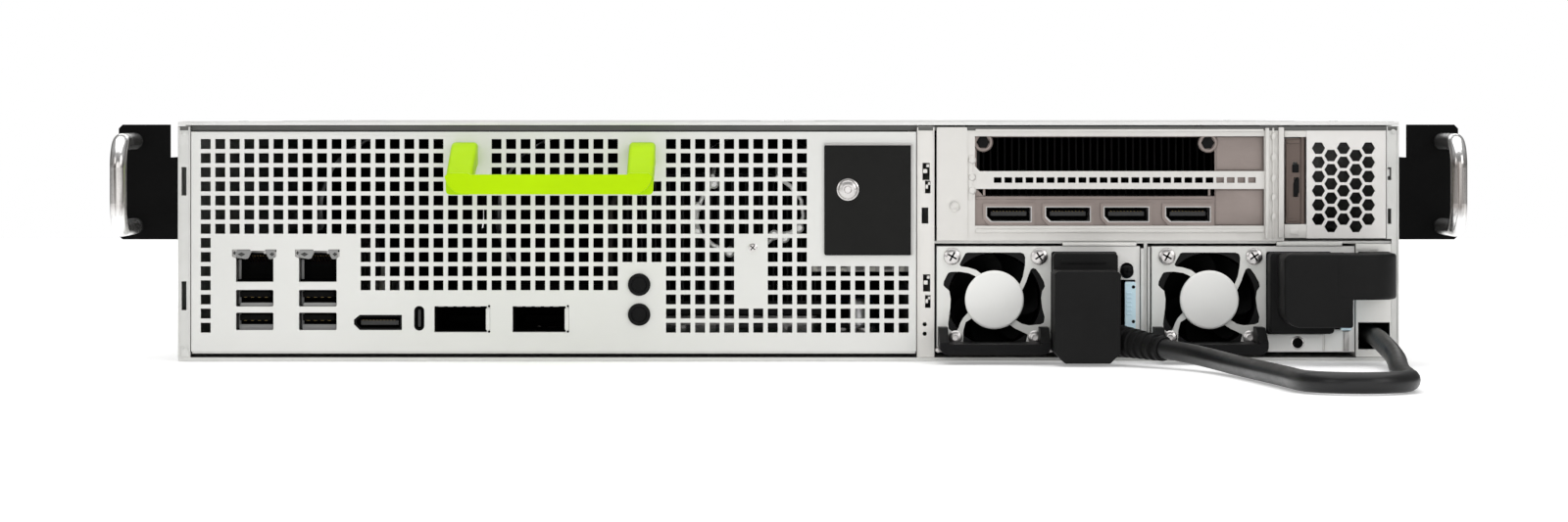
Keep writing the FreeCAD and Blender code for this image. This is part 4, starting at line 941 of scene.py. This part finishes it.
# module cages: dark inside from matt black sheets on the walls, painted shade of the deep cage, with a black connector
# at the back; spring fingers at the mouth; black dots at the corners, painted shade of the corner slots
for x0, x1 in ((-127.6, -107.5), (-99.4, -79.1)):
    p.box(x0 + 0.1, x1 - 0.1, YF + 47.5, YF + 48.8, 10.5, 19.6, 0, 1, 1)
    p.box(x0 + 0.05, x0 + 0.35, YF + 2.2, YF + 47.5, 10.5, 19.6, 0, 1, 1)
    p.box(x1 - 0.35, x1 - 0.05, YF + 3.2, YF + 47.5, 10.5, 19.6, 0, 1, 1)
    p.box(x0 + 0.35, x1 - 0.35, YF + 2.6, YF + 47.5, 10.45, 10.7, 0, 1, 1)
    p.box(x0 + 0.35, x1 - 0.35, YF + 2.6, YF + 47.5, 19.4, 19.65, 0, 1, 1)
    p.box(x0 + 2.5, x1 - 2.5, YF + 38, YF + 47.5, 12.4, 14.8, 0.2, 1, 1)
    for k in range(5):
        xx = x0 + 1.4 + k * 3.3
        p.box(xx, xx + 2.0, YF + 0.5, YF + 2.6, 19.5, 19.68, 0.04, 1, 0)
    # folded spring edge down the right side of the mouth, held at two corner slots
    p.box(x1 - 1.55, x1 - 0.05, YF - 0.1, YF + 1.1, 11.2, 18.9, 0.25, 2, 3)
    p.box(x1 - 1.2, x1 - 0.1, YF + 0.1, YF + 1.1, 10.35, 11.2, 0.1, 1, 3)
    p.box(x1 - 1.2, x1 - 0.1, YF + 0.1, YF + 1.1, 18.9, 19.65, 0.1, 1, 3)
    # black dots: painted shade of the corner slots
    for z in (10.55, 19.75):
        p.cyl((x1 - 0.35, YF - 0.02, z), "y", 0.42, -0.12, 12, 0.05, 1)
p.done("port_details", "io_tray", ["shell", "matt_black_and_shade", "gold", "panel", "plastic", "tongue"], "jack_metal")

# audio jacks: step ring and spring contact
p = Piece()
for z in (27.5, 16.7):
    p.lathe([(3.9, -0.5), (3.95, -0.9), (3.7, -1.15), (2.9, -1.2), (2.55, -0.8), (2.5, 0.2), (1.9, 0.3), (1.9, -0.4)], (-53.8, YF, z), "y", 40)
    p.box(-55.4, -52.2, YF + 3.0, YF + 3.4, z - 1.0, z - 0.6, 0, 1, 1)
p.done("audio_rims", "io_tray", ["plastic", "shell"], "black_plastic")

# thumb screw of the access cover and the small screw of the blank strip
p = Piece()
p.lathe([(0, 0), (3.35, 0), (3.4, -0.5), (3.25, -1.3), (2.6, -1.75), (1.45, -1.85), (1.35, -1.3), (1.1, -1.1), (0, -1.1)], (21.4, YF - 1.0, 61.8), "y", 48)
p.lathe([(3.9, 0), (4.0, -0.25), (3.5, -0.45), (3.3, -0.2)], (21.4, YF - 1.0, 61.8), "y", 40, 0)
screw_head(p, (-12.9, YF + 0.5, 40.8), "y", 1.85, 0.9, turn=0.7)
p.lathe([(1.95, 0.4), (2.35, 0.0), (2.3, -0.1), (1.9, -0.1)], (-12.9, YF, 40.8), "y", 32, 2)
for x in (-200, -86, 28):
    for y in (YF + 30, YF + 125, YF + 240):
        p.lathe([(0, 0), (3.0, 0), (3.0, 3.9), (2.7, 4.35), (1.4, 4.4), (1.4, 2.0), (0, 2.0)], (x, y, 3.6), "z", 20)
p.done("tray_front_screws", "io_tray", ["screw", "matt_black_and_shade", "panel"], "fastener_steel", ["tray_screws"])

# access cover: thin folded lip on its top and right edges
p = Piece()
p.box(12.9, 44.3, YF - 1.25, YF - 0.2, 77.75, 78.25, 0.12)
p.box(44.1, 44.75, YF - 1.25, YF - 0.2, 38.3, 78.2, 0.12)
p.done("access_cover_lip", "io_tray", "shell", "ear_black")

# bright parts behind the grid: a bent wire clip over the cooler, its near-white colour a painted glint, and a row of
# pale cable plugs under the cover
p = Piece()
way = [(-27.4, 66.5), (-27.0, 64.2), (-30.5, 60.2), (-32.8, 55.0), (-33.4, 50.0), (-32.0, 45.6), (-27.0, 41.4), (-21.0, 39.2), (-14.0, 39.6), (-8.0, 42.0),
       (-4.4, 45.2), (0.6, 46.0), (3.8, 48.0), (5.4, 52.0), (4.6, 58.0), (0.6, 63.0), (-4.0, 66.0)]
p.tube([(-27.4, YF + 46, 69.0)] + [(x, YF + 8 + 1.0 * math.sin(k * 1.7), z) for k, (x, z) in enumerate(way)] + [(-4.0, YF + 46, 69.0)], 0.75, 10)
for x, z in ((-27.0, 63.8), (-33.0, 55.4), (-33.2, 46.2), (-21.2, 39.1), (-5.2, 45.2), (-1.5, 44.2), (3.8, 47.8)):
    p.lathe([(0, 0), (1.7, 0), (1.9, -0.9), (1.2, -1.9), (0, -2.1)], (x, YF + 6.5, z), "y", 14)
p.done("cooler_clip", "io_tray", "glint", "fastener_steel")
p = Piece()
for k in range(7):
    x = 10.0 + k * 5.24
    p.box(x - 1.2 - (k % 3) * 0.3, x + 0.6 + (k % 2) * 0.8, YF + 6 + (k % 3), YF + 13, 32.0 + (k % 2) * 0.5, 34.0 - (k % 3) * 0.3, 0.3, 2, k % 2)
    p.tube([(x, YF + 13, 33.0), (x + 1, YF + 22, 33.4), (x + 1, YF + 40, 34), (x - 2, YF + 60, 34)], 0.6, 8, 1)
p.box(7.0, 45.0, YF + 13, YF + 14.2, 31.6, 34.4, 0.2, 1, 2)
p.done("front_cable_plugs", "io_tray", ["white", "cable", "shell"], "black_plastic")

# ------------------------------------------------------------------ sheet details of the front

p = Piece()
# hook tabs in the divider's slots
for x, z, w, h in ((49.6, 68.3, 2.6, 6.2), (50.2, 62.7, 2.0, 4.6), (49.8, 28.1, 2.6, 6.2), (50.2, 21.4, 2.0, 4.6)):
    p.box(x - w / 2 + 0.2, x + w / 2 - 0.9, YF + 0.2, YF + 1.0, z - 0.6, z + 0.9, 0.15)
    p.box(x + 0.1, x + w / 2 - 0.1, YF + 0.5, YF + 1.1, z + h / 2 - 1.6, z + h / 2 - 0.5, 0.15)
# folded edges beside the strip
p.box(46.35, 46.8, YF - 0.35, YF + 0.2, 1.6, 84.2, 0.12)
p.box(52.1, 52.6, YF - 0.35, YF + 0.2, 1.6, 84.2, 0.12)
p.done("divider_hooks", "chassis", "divider", "chassis_steel")

p = Piece()
# card cage front: raised left plate with its dimple, eased window frames, posts on the right
p.plate(rr(53.5, 64.4, 43.5, 84.2, 0.4, 2), [ring(59.85, 55.8, 2.15, 28)], YF - 0.7, YF - 0.02)
p.lathe([(2.1, 0.0), (2.2, -0.9), (1.9, -1.05), (1.5, -0.7), (0.9, -0.45), (0, -0.4)], (59.85, YF, 55.8), "y", 32)
p.box(64.9, 66.4, YF - 0.35, YF - 0.02, 58.0, 74.0, 0.15)
for z in (72.4, 66.2, 61.4):
    p.lathe([(1.4, 0), (1.45, -0.3), (1.0, -0.7), (0, -0.8)], (66.2, YF, z), "y", 18)
p.box(67.4, 171.2, YF - 0.9, YF - 0.02, 46.2, 47.6, 0.3)
p.box(67.4, 171.2, YF - 0.7, YF - 0.02, 82.6, 83.6, 0.25)
p.box(171.7, 173.1, YF - 1.6, YF - 0.02, 44.0, 84.0, 0.35)
p.box(174.3, 175.0, YF - 0.6, YF - 0.02, 44.0, 84.0, 0.2)
p.box(176.4, 178.4, YF - 2.0, YF - 0.02, 44.4, 84.2, 0.4)
for z in (79.5, 72.0, 64.4, 57.5, 50.5):
    p.prism([(174.2, z), (175.4, z + 0.9), (175.6, z + 2.3), (174.6, z + 3.1), (173.9, z + 1.7)], YF - 1.1, YF - 0.02, 0.25)
p.done("card_cage_trim", "chassis", "cage", "panel_steel")

p = Piece()
# dark stand-off nuts with a pale collar in the upper window's corners
for x, z in ((70.2, 78.9), (151.3, 78.6)):
    p.lathe([(2.3, 3.0), (3.4, 2.6), (3.6, 1.6), (3.2, 1.2), (2.5, 1.2), (2.4, 2.2)], (x, YF, z), "y", 32, 0)
    p.cyl((x, YF + 3.0, z), "y", 2.35, -1.4, 6, 0.2, 1)
p.box(70.2, 71.0, YF + 1.9, YF + 2.4, 59.6, 62.0, 0, 1, 0)
p.box(151.4, 152.2, YF + 1.9, YF + 2.4, 59.6, 62.0, 0, 1, 0)
# rolled top lip and lower fold of the bracket
p.box(66.4, 153.6, YF + 1.5, YF + 2.4, 58.3, 59.3, 0.2, 2, 0)
p.box(154.0, 171.6, YF + 1.9, YF + 2.4, 49.0, 61.6, 0.25, 2, 0)
p.box(154.4, 171.0, YF + 1.9, YF + 2.4, 68.8, 80.8, 0.25, 2, 0)
for x in (79.47, 100.8, 121.9, 144.1):
    q = [(x - 9.3, 51.4), (x - 7.1, 48.8), (x + 9.3, 48.8), (x + 9.3, 56.8), (x - 9.3, 56.8)]
    qi = [(x - 8.3, 51.7), (x - 6.6, 49.9), (x + 8.3, 49.9), (x + 8.3, 55.7), (x - 8.3, 55.7)]
    p.plate(q, [qi], YF + 1.2, YF + 2.4, 0)
    qq = [(x - 7.8, 51.9), (x - 6.3, 50.4), (x + 7.8, 50.4), (x + 7.8, 55.2), (x - 7.8, 55.2)]
    p.prism(qq, YF + 9.4, YF + 9.9, 0, 1, 2)
    p.box(x - 6.5, x + 6.5, YF + 3.0, YF + 9.9, 52.2, 53.85, 0.15, 1, 4)
    for k in range(10):
        p.box(x - 5.6 + k * 1.2, x - 5.2 + k * 1.2, YF + 3.4, YF + 9.4, 53.82, 53.95, 0, 1, 3)
p.done("bracket_details", "chassis", ["nickel", "plastic", "matt_black_and_shade", "gold", "tongue"], "card_metal")

p = Piece()
# latch: two black blocks on its face, pin heads
p.box(181.6, 184.0, YF + 0.15, YF + 0.9, 67.9, 70.9, 0.3, 2, 0)
p.prism([(182.0, 59.0), (184.1, 60.6), (184.1, 66.0), (183.2, 66.4), (182.0, 63.8)], YF + 0.15, YF + 0.9, 0.3, 2, 0)
p.box(179.6, 184.2, YF + 0.2, YF + 0.9, 78.4, 79.8, 0.2, 2, 1)
p.box(179.6, 184.2, YF + 0.2, YF + 0.9, 50.2, 51.2, 0.2, 2, 1)
p.box(179.4, 180.1, YF + 0.0, YF + 0.8, 51.6, 78.2, 0.15, 2, 1)
p.done("latch_details", "card_latch", ["plastic", "nickel_dark"], "card_metal")

p = Piece()
# pale light bars: shelf lip over supply 1, folded lip over supply 2, right column plates
p.box(98.8, 125.4, YF + 0.2, YF + 2.2, 41.5, 42.8, 0.2)
p.box(176.0, 199.6, YF + 0.4, YF + 2.2, 41.5, 43.0, 0.2)
p.box(204.4, 212.6, YF - 0.5, YF + 0.0, 39.9, 42.0, 0.1)
p.box(126.9, 128.1, YF - 0.2, YF + 2.2, 1.6, 40.6, 0.2, 2, 1)
p.box(129.5, 130.3, YF + 0.2, YF + 2.2, 1.6, 41.2, 0.2, 2, 1)
p.done("shelf_trim", "chassis", ["channel", "chassis"], "chassis_steel")

p = Piece()
# strips at the two outer edges: folded rims, tab in the upper right slot, small rivets
for x0, x1 in ((-219.9, -219.2), (-216.2, -215.6)):
    p.box(x0, x1, YF - 0.3, YF + 0.2, 1.6, 84.4, 0.12)
p.box(215.5, 215.9, YF - 0.25, YF + 0.2, 44.2, 84.4, 0.1)
p.box(219.3, 219.95, YF - 0.3, YF + 0.2, 1.6, 84.4, 0.12)
p.box(215.7, 216.7, YF + 0.3, YF + 1.0, 66.6, 69.2, 0.2)
for x, z in ((-217.8, 82.0), (-217.8, 4.2), (217.9, 82.6)):
    p.lathe([(0.9, 0), (0.95, -0.25), (0.6, -0.5), (0, -0.55)], (x, YF, z), "y", 18)
# corner gussets where the strips meet the floor
p.prism([(-218.7, 1.4), (-215.8, 1.4), (-216.4, 4.6), (-218.7, 5.4)], YF - 0.5, YF + 0.1, 0.15)
p.done("edge_strips", "chassis", "chassis", "chassis_steel")

# grey strips behind and under the lid's lip: painted shadow of the gap below the lid
p = Piece()
p.box(-215.3, 46.2, YF + 1.6, YF + 3.6, 82.9, 84.9, 0.3)
p.box(-219.8, -215.3, YF - 0.14, YF + 0.4, 83.1, 84.6, 0.1)
p.box(46.2, 219.6, YF - 0.14, YF - 0.01, 83.05, 84.5, 0.05)
p.done("lid_gap_shade_strips", "chassis", "gasket", "ear_black")
p = Piece()
p.box(178.7, 186.6, YF - 0.16, YF + 0.16, 44.3, 49.3, 0.1)
p.box(178.7, 186.6, YF - 0.16, YF + 0.16, 80.7, 83.0, 0.1)
p.box(180.6, 183.6, YF - 0.4, YF - 0.1, 45.4, 48.2, 0.15)
p.done("latch_keepers", "chassis", "cage", "panel_steel")

# ------------------------------------------------------------------ ears

for s, side in ((-1, "left"), (1, "right")):
    soften("rack_ear_" + side, 0.22, 2)
    p = Piece()
    for z in (79.2, 48.6):
        p.lathe([(2.95, 0.0), (3.3, 0.0), (3.2, -0.25), (2.95, -0.3)], (s * 235.5, YF, z), "y", 32, 1)
        screw_head(p, (s * 235.5, YF + 2.0, z), "y", 3.4, 1.8, "hex", 0, 1, 1)
    p.done("ear_handle_feet_" + side, "chassis", ["chrome", "matt_black_and_shade"], "chrome_rod")
    # flush black dust plug in the rack slot
    p = Piece()
    p.prism(rr(s * 232.55 - 5.5, s * 232.55 + 5.5, 62.95, 70.45, 3.74, 12), YF - 0.04, YF + 0.02, 0.0, 1, 0)
    p.prism(rr(s * 232.55 - 5.05, s * 232.55 + 5.05, 63.4, 70.0, 3.3, 12), YF + 0.02, YF + 1.7, 0.0, 1, 0)
    p.done("slot_plug_" + side, "chassis", "ear", "ear_black")
p = Piece()
for s in (-1, 1):
    for y in (YF + 14, YF + 46):
        for z in (50.0, 67.0):
            screw_head(p, (s * 222.0, y, z), "x", 3.0, 1.4, "cross", 0, 1, s, 0.3)
p.done("ear_side_screws", "chassis", ["screw", "matt_black_and_shade"], "fastener_steel", ["ear_screws"])

# ------------------------------------------------------------------ lid

p = Piece()
for x in (-200.0, 0.0, 200.0):
    for y in (YF + 30, YR - 30):
        screw_head(p, (x, y, 85.1), "z", 3.0, 1.35, "cross", 0, 1, 1, rnd.random())
        p.lathe([(3.05, 0), (4.6, 0), (4.4, 0.22), (3.2, 0.22)], (x, y, 86.2), "z", 32, 2)
p.done("lid_screws", "lid", ["screw", "matt_black_and_shade", "lid"], "fastener_steel", ["cover_screws"])
p = Piece()
# pressed stiffening frames, front hem, side rivets, finger recess
for x0, x1 in ((-190, -12), (12, 190)):
    for y0, y1 in ((YF + 56, YF + 214), (YF + 236, YR - 56)):
        o1 = [(x, y) for x, y in rr(x0, x1, y0, y1, 12, 6)]
        o2 = [(x, y) for x, y in rr(x0 + 5, x1 - 5, y0 + 5, y1 - 5, 8, 6)]
        p.plate(o1, [o2], 86.15, 86.5, 0, "z")
p.box(-219.6, 219.6, YF - 0.25, YF + 0.9, 85.15, 86.15, 0.2)
p.box(-219.4, 219.4, YF + 9.0, YF + 9.8, 86.15, 86.4, 0.1)
p.box(-219.4, 219.4, YR - 12.0, YR - 11.2, 86.15, 86.4, 0.1)
p.done("lid_pressings", "lid", "lid", "chassis_steel", (), 25)

# ------------------------------------------------------------------ chassis sides, far panel, underside

p = Piece()
for s in (-1, 1):
    for k in range(9):
        y = YF + 82 + k * 44
        for z in (8.0, 78.0):
            p.lathe([(1.9, 0), (1.9, s * 0.25), (1.3, s * 0.6), (0, s * 0.7)], (s * 220.0, y, z), "x", 18)
    # slide studs and pressed bead
    for y in (YF + 130, YF + 270, YF + 410):
        p.lathe([(3.6, 0), (3.6, s * 0.5), (2.0, s * 0.6), (2.0, s * 1.0), (3.0, s * 1.0), (3.1, s * 1.25), (0, s * 1.3)], (s * 220.0, y, 58.0), "x", 28)
    p.prism(rr(YF + 84, YR - 24, 30.0, 34.0, 1.9, 6), s * 219.8, s * 220.45, 0.3, 2, 0, "x")
for x in (-150, 0, 150):
    for y in (YF + 60, YR - 60):
        p.lathe([(2.05, 0.0), (4.2, 0.0), (4.0, -0.08), (2.1, -0.08)], (x, y, 0.0), "z", 28)
p.done("chassis_rivets", "chassis", "chassis", "chassis_steel")

p = Piece()
for x in (-175.6, -94.1, -12.6, 68.9):
    for dx in (-35.8, 35.8):
        for dz in (-35.8, 35.8):
            screw_head(p, (x + dx, YR, 42.9 + dz), "y", 2.7, 1.0, "cross", 0, 1, 1, rnd.random() * 1.5)
for z in (12.0, 33.4):
    for x in (180.5, 213.5):
        screw_head(p, (x, YR, z), "y", 2.2, 0.9, "cross", 0, 1, 1, rnd.random())
# earth stud
p.lathe([(0, 0), (3.4, 0), (3.4, 2.0), (1.9, 2.2), (1.9, 5.0), (1.5, 5.4), (0, 5.4)], (136.0, YR, 14.0), "y", 6)
p.lathe([(1.9, 5.4), (1.8, 6.4), (0, 6.5)], (136.0, YR, 14.0), "y", 20)
p.done("far_panel_screws", "chassis", ["screw", "matt_black_and_shade"], "fastener_steel")

p = Piece()
for x in (-175.6, -94.1, -12.6, 68.9):
    p.plate(rr(x - 39.6, x + 39.6, 42.9 - 39.6, 42.9 + 39.6, 3, 4), [rr(x - 38.9, x + 38.9, 42.9 - 38.9, 42.9 + 38.9, 2.6, 4)], YR - 0.02, YR + 0.22)
p.plate(rr(118.4, 206.0, 52.4, 82.0, 2, 4), [rr(119.2, 205.2, 53.2, 81.2, 1.6, 4)], YR - 0.02, YR + 0.22)
p.box(-218.0, 218.0, YR - 0.3, YR + 0.25, 83.4, 84.5, 0.15)
p.done("far_panel_beads", "chassis", "panel", "chassis_steel", (), 25)

p = Piece()
for z in (12.0, 33.4):
    p.plate(rr(183.4, 210.6, z - 9.6, z + 9.6, 2.2, 5), [rr(184.9, 209.1, z - 8.1, z + 8.1, 1.5, 4)], YR, YR + 1.4, 0)
    for dx, dz in ((0, 3.2), (-5.0, -3.0), (5.0, -3.0)):
        p.box(197.0 + dx - 0.9, 197.0 + dx + 0.9, YR - 18.6, YR - 3.0, z + dz - 2.0, z + dz + 2.0, 0.4, 2, 1)
p.done("far_inlet_fittings", "chassis", ["plastic", "screw"], "black_plastic")

# ------------------------------------------------------------------ main board and what stands on it

BZ = 9.6
p = Piece()
# socket frame, slots, connectors
p.plate(rr(-62, 12, YF + 72, YF + 160, 3, 4), [rr(-53.6, 3.6, YF + 79.4, YF + 152.6, 2, 3)], BZ, BZ + 3.4, 0, "z")
for k in range(3):
    y = YF + 196 + k * 20.3
    p.box(-120, -30, y, y + 7.4, BZ, BZ + 10.6, 0.5, 2, 1)
    # black strip on top: painted shade of the slot's opening
    p.box(-118, -32, y + 3.0, y + 4.4, BZ + 10.3, BZ + 10.8, 0, 1, 2)
for k in range(4):
    x = -196.0 + 10.0 * k
    for y in (YF + 56, YF + 200):
        p.box(x - 2.6, x + 2.6, y, y + 6, BZ, BZ + 18, 0.6, 2, 3)
p.box(8, 34, YF + 186, YF + 206, BZ, BZ + 12, 0.6, 2, 1)
p.box(-150, -138, YF + 190, YF + 240, BZ, BZ + 9, 0.5, 2, 1)
for k in range(12):
    # black squares on top: painted shade of the pin openings
    p.box(-148.2, -145.4, YF + 192 + k * 4, YF + 194.8 + k * 4, BZ + 8.7, BZ + 9.1, 0, 1, 2)
    p.box(-142.8, -140.0, YF + 192 + k * 4, YF + 194.8 + k * 4, BZ + 8.7, BZ + 9.1, 0, 1, 2)
for k in range(4):
    p.box(18, 33, YF + 96 + 18 * k, YF + 111 + 18 * k, BZ, BZ + 7, 0.4, 2, 4 if k % 2 else 1)
p.done("board_connectors", "io_tray", ["shell", "plastic", "matt_black_and_shade", "white", "blue"], "black_plastic")

p = Piece()
# chips
for x, y, w, h, t in ((-120, YF + 90, 30, 30, 2.6), (-96, YF + 150, 17, 17, 1.8), (-140, YF + 160, 12, 12, 1.6), (-76, YF + 44, 14, 10, 1.6),
                      (-150, YF + 52, 9, 9, 1.4), (-120, YF + 52, 12, 8, 1.4), (-20, YF + 44, 16, 8, 1.6), (18, YF + 70, 10, 14, 1.6),
                      (-100, YF + 176, 20, 8, 1.6), (22, YF + 176, 8, 8, 1.2), (-202, YF + 226, 8, 14, 1.4), (-182, YF + 232, 12, 6, 1.4)):
    p.box(x, x + w, y, y + h, BZ, BZ + t, 0.25)
for k in range(120):
    x, y = rnd.uniform(-160, 30), rnd.uniform(YF + 30, YF + 240)
    if -66 < x < 16 and YF + 60 < y < YF + 172:
        continue
    w, h = rnd.choice(((1.2, 2.2), (2.2, 1.2), (1.6, 3.2), (3.2, 3.2)))
    p.box(x, x + w, y, y + h, BZ, BZ + rnd.uniform(0.6, 1.3), 0, 1, rnd.choice((0, 1, 1, 2)))
p.done("board_chips", "io_tray", ["ic", "choke", "shell"], "black_plastic")

p = Piece()
# capacitors and chokes beside the processor
for k in range(8):
    y = YF + 74 + k * 11.5
    p.lathe([(0, 0), (3.1, 0), (3.2, 0.5), (2.9, 0.9), (3.2, 1.3), (3.2, 8.2), (2.9, 8.7), (0, 8.7)], (-69.5, y, BZ), "z", 24, 0)
    p.box(-82.5, -75.5, y - 4.0, y + 4.0, BZ, BZ + 6.5, 0.6, 2, 1)
for x, y in ((-10, YF + 182), (-1, YF + 182), (-60, YF + 184), (-52, YF + 184), (-158, YF + 80), (-158, YF + 90), (26, YF + 40), (26, YF + 50), (-160, YF + 232), (14, YF + 216), (22, YF + 216)):
    p.lathe([(0, 0), (3.6, 0), (3.7, 0.5), (3.3, 1.0), (3.7, 1.5), (3.7, 10.2), (3.3, 10.8), (0, 10.8)], (x, y, BZ), "z", 24, 0)
p.done("board_capacitors", "io_tray", ["can", "choke"], "fin_aluminium")

p = Piece()
for x in (-200, -86, 28):
    for y in (YF + 30, YF + 125, YF + 240):
        if -64 < x < 14 and YF + 62 < y < YF + 170:
            continue
        screw_head(p, (x, y, BZ), "z", 3.0, 1.6, "cross", 0, 1, 1, rnd.random())
p.done("board_screws", "io_tray", ["screw", "matt_black_and_shade"], "fastener_steel")

# heat pipes and top plate of the processor's cooler
p = Piece()
for k in range(4):
    y = YF + 84 + k * 20
    p.tube([(-62, y, 20), (-66.5, y, 24), (-67.0, y, 32), (-67.0, y, 52), (-65.4, y, 57), (-60, y, 59)], 2.6, 14, 0)
p.box(-64.4, 14.4, YF + 62, YF + 170, 66.0, 66.6, 0.2, 1, 1)
for x in (-58, 8):
    for y in (YF + 68, YF + 164):
        screw_head(p, (x, y, 66.6), "z", 3.2, 1.6, "cross", 2, 3, 1, 0.5)
p.done("cooler_pipes", "io_tray", ["copper", "fins", "screw", "matt_black_and_shade"], "fin_aluminium")

# memory chips on the modules
p = Piece()
for k in range(4):
    x = -196.0 + 10.0 * k
    for s in (-1, 1):
        for i in range(9):
            y = YF + 70 + i * 13.9
            a, b = sorted((x + s * 0.6, x + s * 1.75))
            p.box(a, b, y, y + 10.5, 24.0, 38.0, 0.12)
p.done("memory_chips", "io_tray", "ic", "black_plastic")

# ------------------------------------------------------------------ expansion card and supplies seen from above

p = Piece()
p.plate(rr(70, 174, YF + 12, YF + 186, 4, 4), [rr(76, 168, YF + 18, YF + 180, 4, 4)], 83.6, 84.1, 0, "z")
for k in range(11):
    y = YF + 26 + k * 14
    p.prism([(84, y), (160, y + 6), (160, y + 9), (84, y + 3)], 83.6, 84.1, 0.15, 1, 0, "z")
p.plate(ring(122.0, YF + 222, 34, 64), [ring(122.0, YF + 222, 30.5, 64)], 83.6, 84.2, 0, "z")
for x, y in ((72, YF + 14), (172, YF + 14), (72, YF + 256), (172, YF + 256)):
    screw_head(p, (x, y, 83.6), "z", 2.2, 0.9, "cross", 1, 2, 1, 0.6)
p.done("shroud_details", "chassis", ["plastic", "screw", "matt_black_and_shade"], "black_plastic")
p = Piece()
p.lathe([(0, 26.0), (13.2, 26.0), (14.2, 27.2), (12.0, 27.6), (3.0, 27.7), (0, 27.7)], (122.0, YF + 222, 50.4), "z", 48)
p.done("blower_cap", "card_blower", "plastic", "black_plastic")
p = Piece()
p.box(76, 168, YF + 196, YF + 200, 42.0 - 39.0, 40.0, 0.3, 1, 0)
for k in range(6):
    p.lathe([(0, 0), (4.4, 0), (4.5, 1), (4.1, 1.6), (4.5, 2.2), (4.5, 14), (4.1, 14.6), (0, 14.6)], (64 + k * 24, YF + 191.6, 30), "y", 24, 1)
p.done("power_board_parts", "chassis", ["plastic", "can"], "black_plastic")

# cable loom from the power board to the tray's bay, and fan leads
p = Piece()
for k in range(5):
    z = 12 + k * 3.2
    p.tube([(70 + k * 6, YF + 201, 24), (60 + k * 3, YF + 226, z + 4), (40, YF + 262 + k * 4, z), (-20, YF + 286 + k * 4, z - 2), (-150, YF + 300 + k * 3, z - 4),
            (-205, YF + 330, z - 2)], 1.7, 8, k % 2)
p.done("power_loom", "chassis", ["plastic", "matt_black_and_shade"], "black_plastic")

# underside: pressed stiffening beads, spot-weld dimples and flush countersunk screws
p = Piece()
for x0, x1 in ((-206, -76), (-66, 36), (58, 206)):
    for y0, y1 in ((YF + 22, YF + 130), (YF + 142, YF + 260), (YF + 272, YR - 24)):
        p.plate(rr(x0, x1, y0, y1, 9, 6), [rr(x0 + 1.3, x1 - 1.3, y0 + 1.3, y1 - 1.3, 7.8, 6)], -0.16, 0.02, 0, "z")
for k in range(9):
    for x in (-214.0, 214.0):
        p.cyl((x, YF + 20 + k * 51, 0.02), "z", 1.7, -0.18, 16, 0.08, 0)
for k in range(8):
    p.cyl((-180 + k * 51.4, YR - 7, 0.02), "z", 1.7, -0.18, 16, 0.08, 0)
for x in (-150.0, 0.0, 150.0):
    for y in (YF + 60, YR - 60):
        p.lathe([(0, 0.02), (3.1, 0.02), (3.2, -0.1), (2.9, -0.2), (1.0, -0.2), (0.9, -0.05), (0, -0.05)], (x, y, 0.0), "z", 24, 1)
        # black crossed bars on each head: painted shade of its recess
        for k in range(2):
            w = (2.0, 0.35) if k else (0.35, 2.0)
            p.box(x - w[0], x + w[0], y - w[1], y + w[1], -0.22, -0.05, 0, 1, 2)
p.done("underside_beads", "chassis", ["chassis", "screw", "matt_black_and_shade"], "chassis_steel", (), 25)
